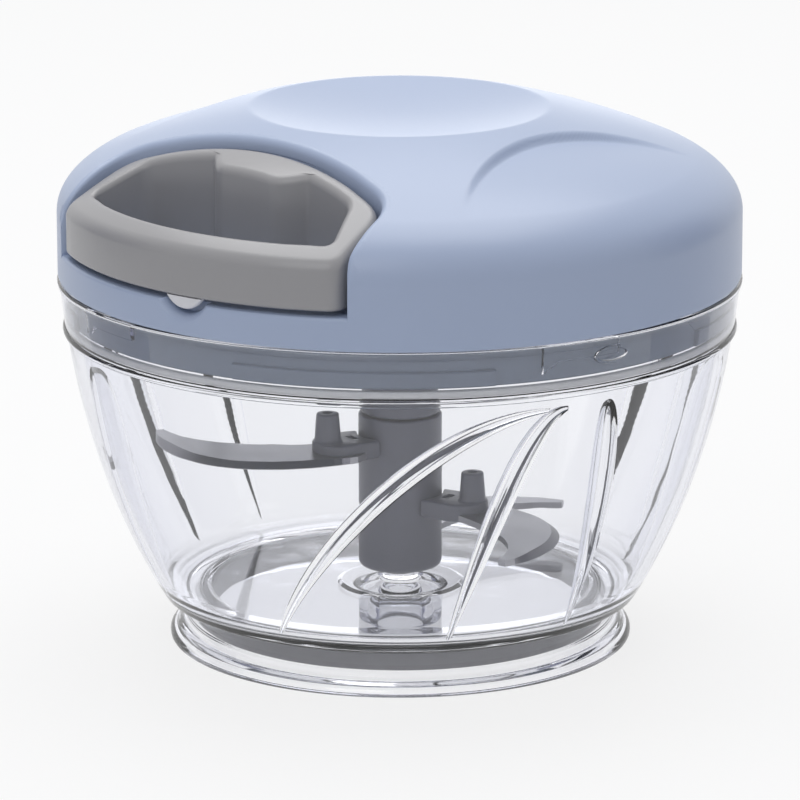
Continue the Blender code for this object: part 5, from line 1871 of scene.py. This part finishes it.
    def build(self, maker: Maker) -> None:
        """Make everything that shows under the lid."""
        maker.finish(self.base(), "slate", "lid", ["lid_base"], 36.0)
        maker.finish(self.seal(), "seal", "seal", ["lid_seal"])
        bush = Bench.turned("stem_bush", self.bush, 96)
        maker.finish(bush, "white", "lid", ["hub_bush"])
        maker.finish(self.hub(), "rotor", "hub", ["drive_hub"])
        lengths = dict.fromkeys(length for _, _, _, length in self.screws)
        models = {length: self.screw(length) for length in lengths}
        for name, radius, azimuth, length in self.screws:
            screw = Bench.copy(models[length], name + "_fine")
            Bench.put(screw, polar(radius, azimuth))
            maker.finish(screw, "steel", "lid", [name])
        for model in models.values():
            bpy.data.objects.remove(model, do_unlink=True)


@dataclass
class Works:
    """The mechanism that the cover hides, and the cord between lid and handle."""

    handle: PullHandle
    packed: tuple[tuple[str, str], ...] = (
        ("spool_housing", "white"),
        ("spring_case", "white"),
        ("spring_cover", "white"),
        ("mainspring", "steel"),
        ("axle_pin", "steel"),
        ("cord_winding", "cord"),
        ("cord_run", "cord"),
        ("spool", "white"),
        ("pawl_plate", "white"),
        ("hub_clip", "steel"),
    )

    def eyelet(self) -> bpy.types.Object:
        """Turn the flanged eyelet that guides the cord through the pocket's wall."""
        low, high = (corner.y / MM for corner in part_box("cord_eyelet"))
        profile = [(1.5, low), (2.5, low), (2.7, low + 0.2)]
        profile += [(2.7, high - 1.1), (4.2, high - 1.1), (4.2, high)]
        profile += bend((2.1, high), (1.5, high), (1.5, high - 0.6), 4)
        eyelet = Bench.turned("cord_guide", profile, 48)
        Bench.put(eyelet, (0.0, 0.0, self.handle.cord_z), -90.0)
        return eyelet

    def cord(self, maker: Maker) -> None:
        """Loft the cord between the eyelet and the handle."""
        low, high = (corner.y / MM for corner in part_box("cord_lead"))
        middle, radius = self.handle.cord_z, self.handle.cord_r
        angles = [math.tau * step / 16 for step in range(16)]
        rim = [(radius * math.cos(angle), middle + radius * math.sin(angle)) for angle in angles]
        places = [high + (low - high) * step / 24 for step in range(25)]
        cord = Bench.lofted("running_cord", [[(x, y, z) for x, z in rim] for y in places])
        maker.finish(cord, "cord", "", ["cord_lead"])
        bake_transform(cord)

    def build(self, maker: Maker) -> None:
        """Dress the hidden solids, and make the eyelet and the cord that is drawn out."""
        for node, kind in self.packed:
            maker.dress(node, kind)
        maker.finish(self.eyelet(), "white", "lid", ["cord_eyelet"])
        self.cord(maker)


# studio


def facing(azimuth: float, elevation: float) -> Vector:
    """Find the direction from the object to a place in the studio.

    Args:
        azimuth: Degrees to the right of -Y.
        elevation: Degrees above the floor.

    Returns:
        The unit vector.
    """
    around, up = math.radians(azimuth), math.radians(elevation)
    level_part = math.cos(up)
    return Vector((math.sin(around) * level_part, -math.cos(around) * level_part, math.sin(up)))


@dataclass(frozen=True)
class Lamp:
    """One soft square lamp that faces the object."""

    name: str
    turn: float
    elevation: float
    distance: float
    size: float
    power: float
    aim_z: float = 0.06

    def build(self, azimuth: float) -> None:
        """Hang the lamp.

        Args:
            azimuth: The camera's azimuth, from which the lamp's turn counts.
        """
        way = facing(azimuth + self.turn, self.elevation)
        data = bpy.data.lights.new(self.name, "AREA")
        data.size = self.size
        data.energy = self.power
        item = bpy.data.objects.new(self.name, data)
        bpy.context.scene.collection.objects.link(item)
        item.location = Vector((0.0, 0.0, self.aim_z)) + way * self.distance
        item.rotation_euler = (-way).to_track_quat("-Z", "Y").to_euler()


@dataclass
class Studio:
    """Pale floor, soft lamps, dark side cards for the clear plastic, and the camera.

    Lengths are in metres here.
    """

    azimuth: float = 43.0
    elevation: float = 15.107
    roll: float = -0.1
    distance: float = 1.0859
    focus_z: float = 0.039
    lens: float = 254.8
    nudge: Point2 = (-0.00002, 0.006037)
    room: Colour = (0.92, 0.94, 1.0)
    room_light: float = 0.38
    floor_size: float = 12.0
    floor_white: float = 0.82
    floor_shades: Point2 = (0.86, 0.88)
    card_size: Point2 = (0.30, 0.35)
    card_at: Point2 = (0.5, 0.01)
    card_turn: float = 105.0
    card_colour: Colour = (0.20, 0.21, 0.32)
    lamps: tuple[Lamp, ...] = (
        Lamp("top_lamp", turn=180.0, elevation=72.0, distance=0.9, size=0.8, power=6.2),
        Lamp("back_lamp", turn=180.0, elevation=4.0, distance=1.3, size=0.45, power=0.7),
        Lamp("front_lamp", turn=-25.0, elevation=42.0, distance=1.2, size=0.6, power=1.9),
    )

    def camera(self) -> None:
        """Set the camera where the photograph was taken."""
        around = math.radians(self.azimuth)
        back = facing(self.azimuth, self.elevation)
        right = Vector((math.cos(around), math.sin(around), 0.0))
        above = back.cross(right)
        lean = math.radians(self.roll)
        side = right * math.cos(lean) + above * math.sin(lean)
        top = above * math.cos(lean) - right * math.sin(lean)
        ahead = (-back + top * self.nudge[1] + side * self.nudge[0]).normalized()
        side = (side - ahead * side.dot(ahead)).normalized()
        top = side.cross(ahead)
        data = bpy.data.cameras.new("camera")
        data.lens = self.lens
        data.sensor_width = 36.0
        data.clip_start = 0.05
        data.clip_end = 50.0
        item = bpy.data.objects.new("camera", data)
        bpy.context.scene.collection.objects.link(item)
        spot = Vector((0.0, 0.0, self.focus_z)) + back * self.distance
        turn = Matrix((side, top, -ahead)).transposed()
        item.matrix_world = Matrix.Translation(spot) @ turn.to_4x4()
        bpy.context.scene.camera = item

    def world(self) -> None:
        """Light the room softly, and show it white to the camera and in gloss."""
        world = bpy.data.worlds.new("room")
        bpy.context.scene.world = world
        graph = Graph("room", world)
        room = {"Color": tint(self.room), "Strength": self.room_light}
        white = {"Color": tint((1.0, 1.0, 1.0)), "Strength": 1.0}
        room_node = graph.add("ShaderNodeBackground", {}, room)
        white_node = graph.add("ShaderNodeBackground", {}, white)
        graph.mixed(graph.shown(), room_node, white_node, "ShaderNodeOutputWorld")

    def floor(self) -> None:
        """Lay the pale floor, which keeps the object's shadow."""
        Bench.clear_selection()
        bpy.ops.mesh.primitive_plane_add(size=self.floor_size)
        floor = Bench.named("floor")
        graph = Graph("pale_floor")
        dark, light = (tint((shade,) * 3) for shade in self.floor_shades)
        dust = graph.blend(graph.noise(40.0, 2.0), dark, light)
        matte = graph.add("ShaderNodeBsdfDiffuse", {}, {"Color": dust})
        white = {"Color": tint((1.0, 1.0, 1.0)), "Strength": 1.0}
        glow = graph.add("ShaderNodeEmission", {}, white)
        graph.mixed(graph.shown() * self.floor_white, matte, glow, "ShaderNodeOutputMaterial")
        floor.data.materials.append(graph.owner)

    def card(self, name: str, turn: float) -> None:
        """Stand a dark card beside the object, seen only through and in glossy surfaces.

        Args:
            name: Name of the card.
            turn: Its side of the object, counted from the camera's azimuth.
        """
        width, height = self.card_size
        distance, rise = self.card_at
        way = facing(self.azimuth + turn, 0.0)
        Bench.clear_selection()
        bpy.ops.mesh.primitive_plane_add(size=1.0)
        card = Bench.named(name)
        card.scale = (width, height, 1.0)
        card.rotation_euler = way.to_track_quat("Z", "Y").to_euler()
        card.location = way * distance + Vector((0.0, 0.0, height / 2 + rise))
        Bench.settle(card)
        felt = Graph(name + "_felt")
        felt.surface({"Base Color": tint(self.card_colour), "Roughness": 0.9})
        card.data.materials.append(felt.owner)
        card.visible_camera = False
        card.visible_diffuse = False
        card.visible_shadow = False

    def build(self) -> None:
        """Set up the whole studio."""
        bpy.context.scene.view_settings.view_transform = "Standard"
        self.camera()
        self.world()
        self.floor()
        self.card("left_card", -self.card_turn)
        self.card("right_card", self.card_turn)
        for lamp in self.lamps:
            lamp.build(self.azimuth)


def main() -> None:
    """Build the studio and every sub-assembly in order, and log how many pieces were dressed."""
    logging.basicConfig(level=logging.INFO, format="%(name)s: %(message)s")
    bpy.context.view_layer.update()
    Studio().build()
    maker = Maker()
    form = LidForm()
    handle = PullHandle()
    Bowl().build(maker)
    Rotor().build(maker)
    handle.build(maker)
    LidCover(form, handle).build(maker)
    Underside().build(maker)
    Works(handle).build(maker)
    log.info("%d pieces dressed", maker.count)


if __name__ == "__main__":
    main()
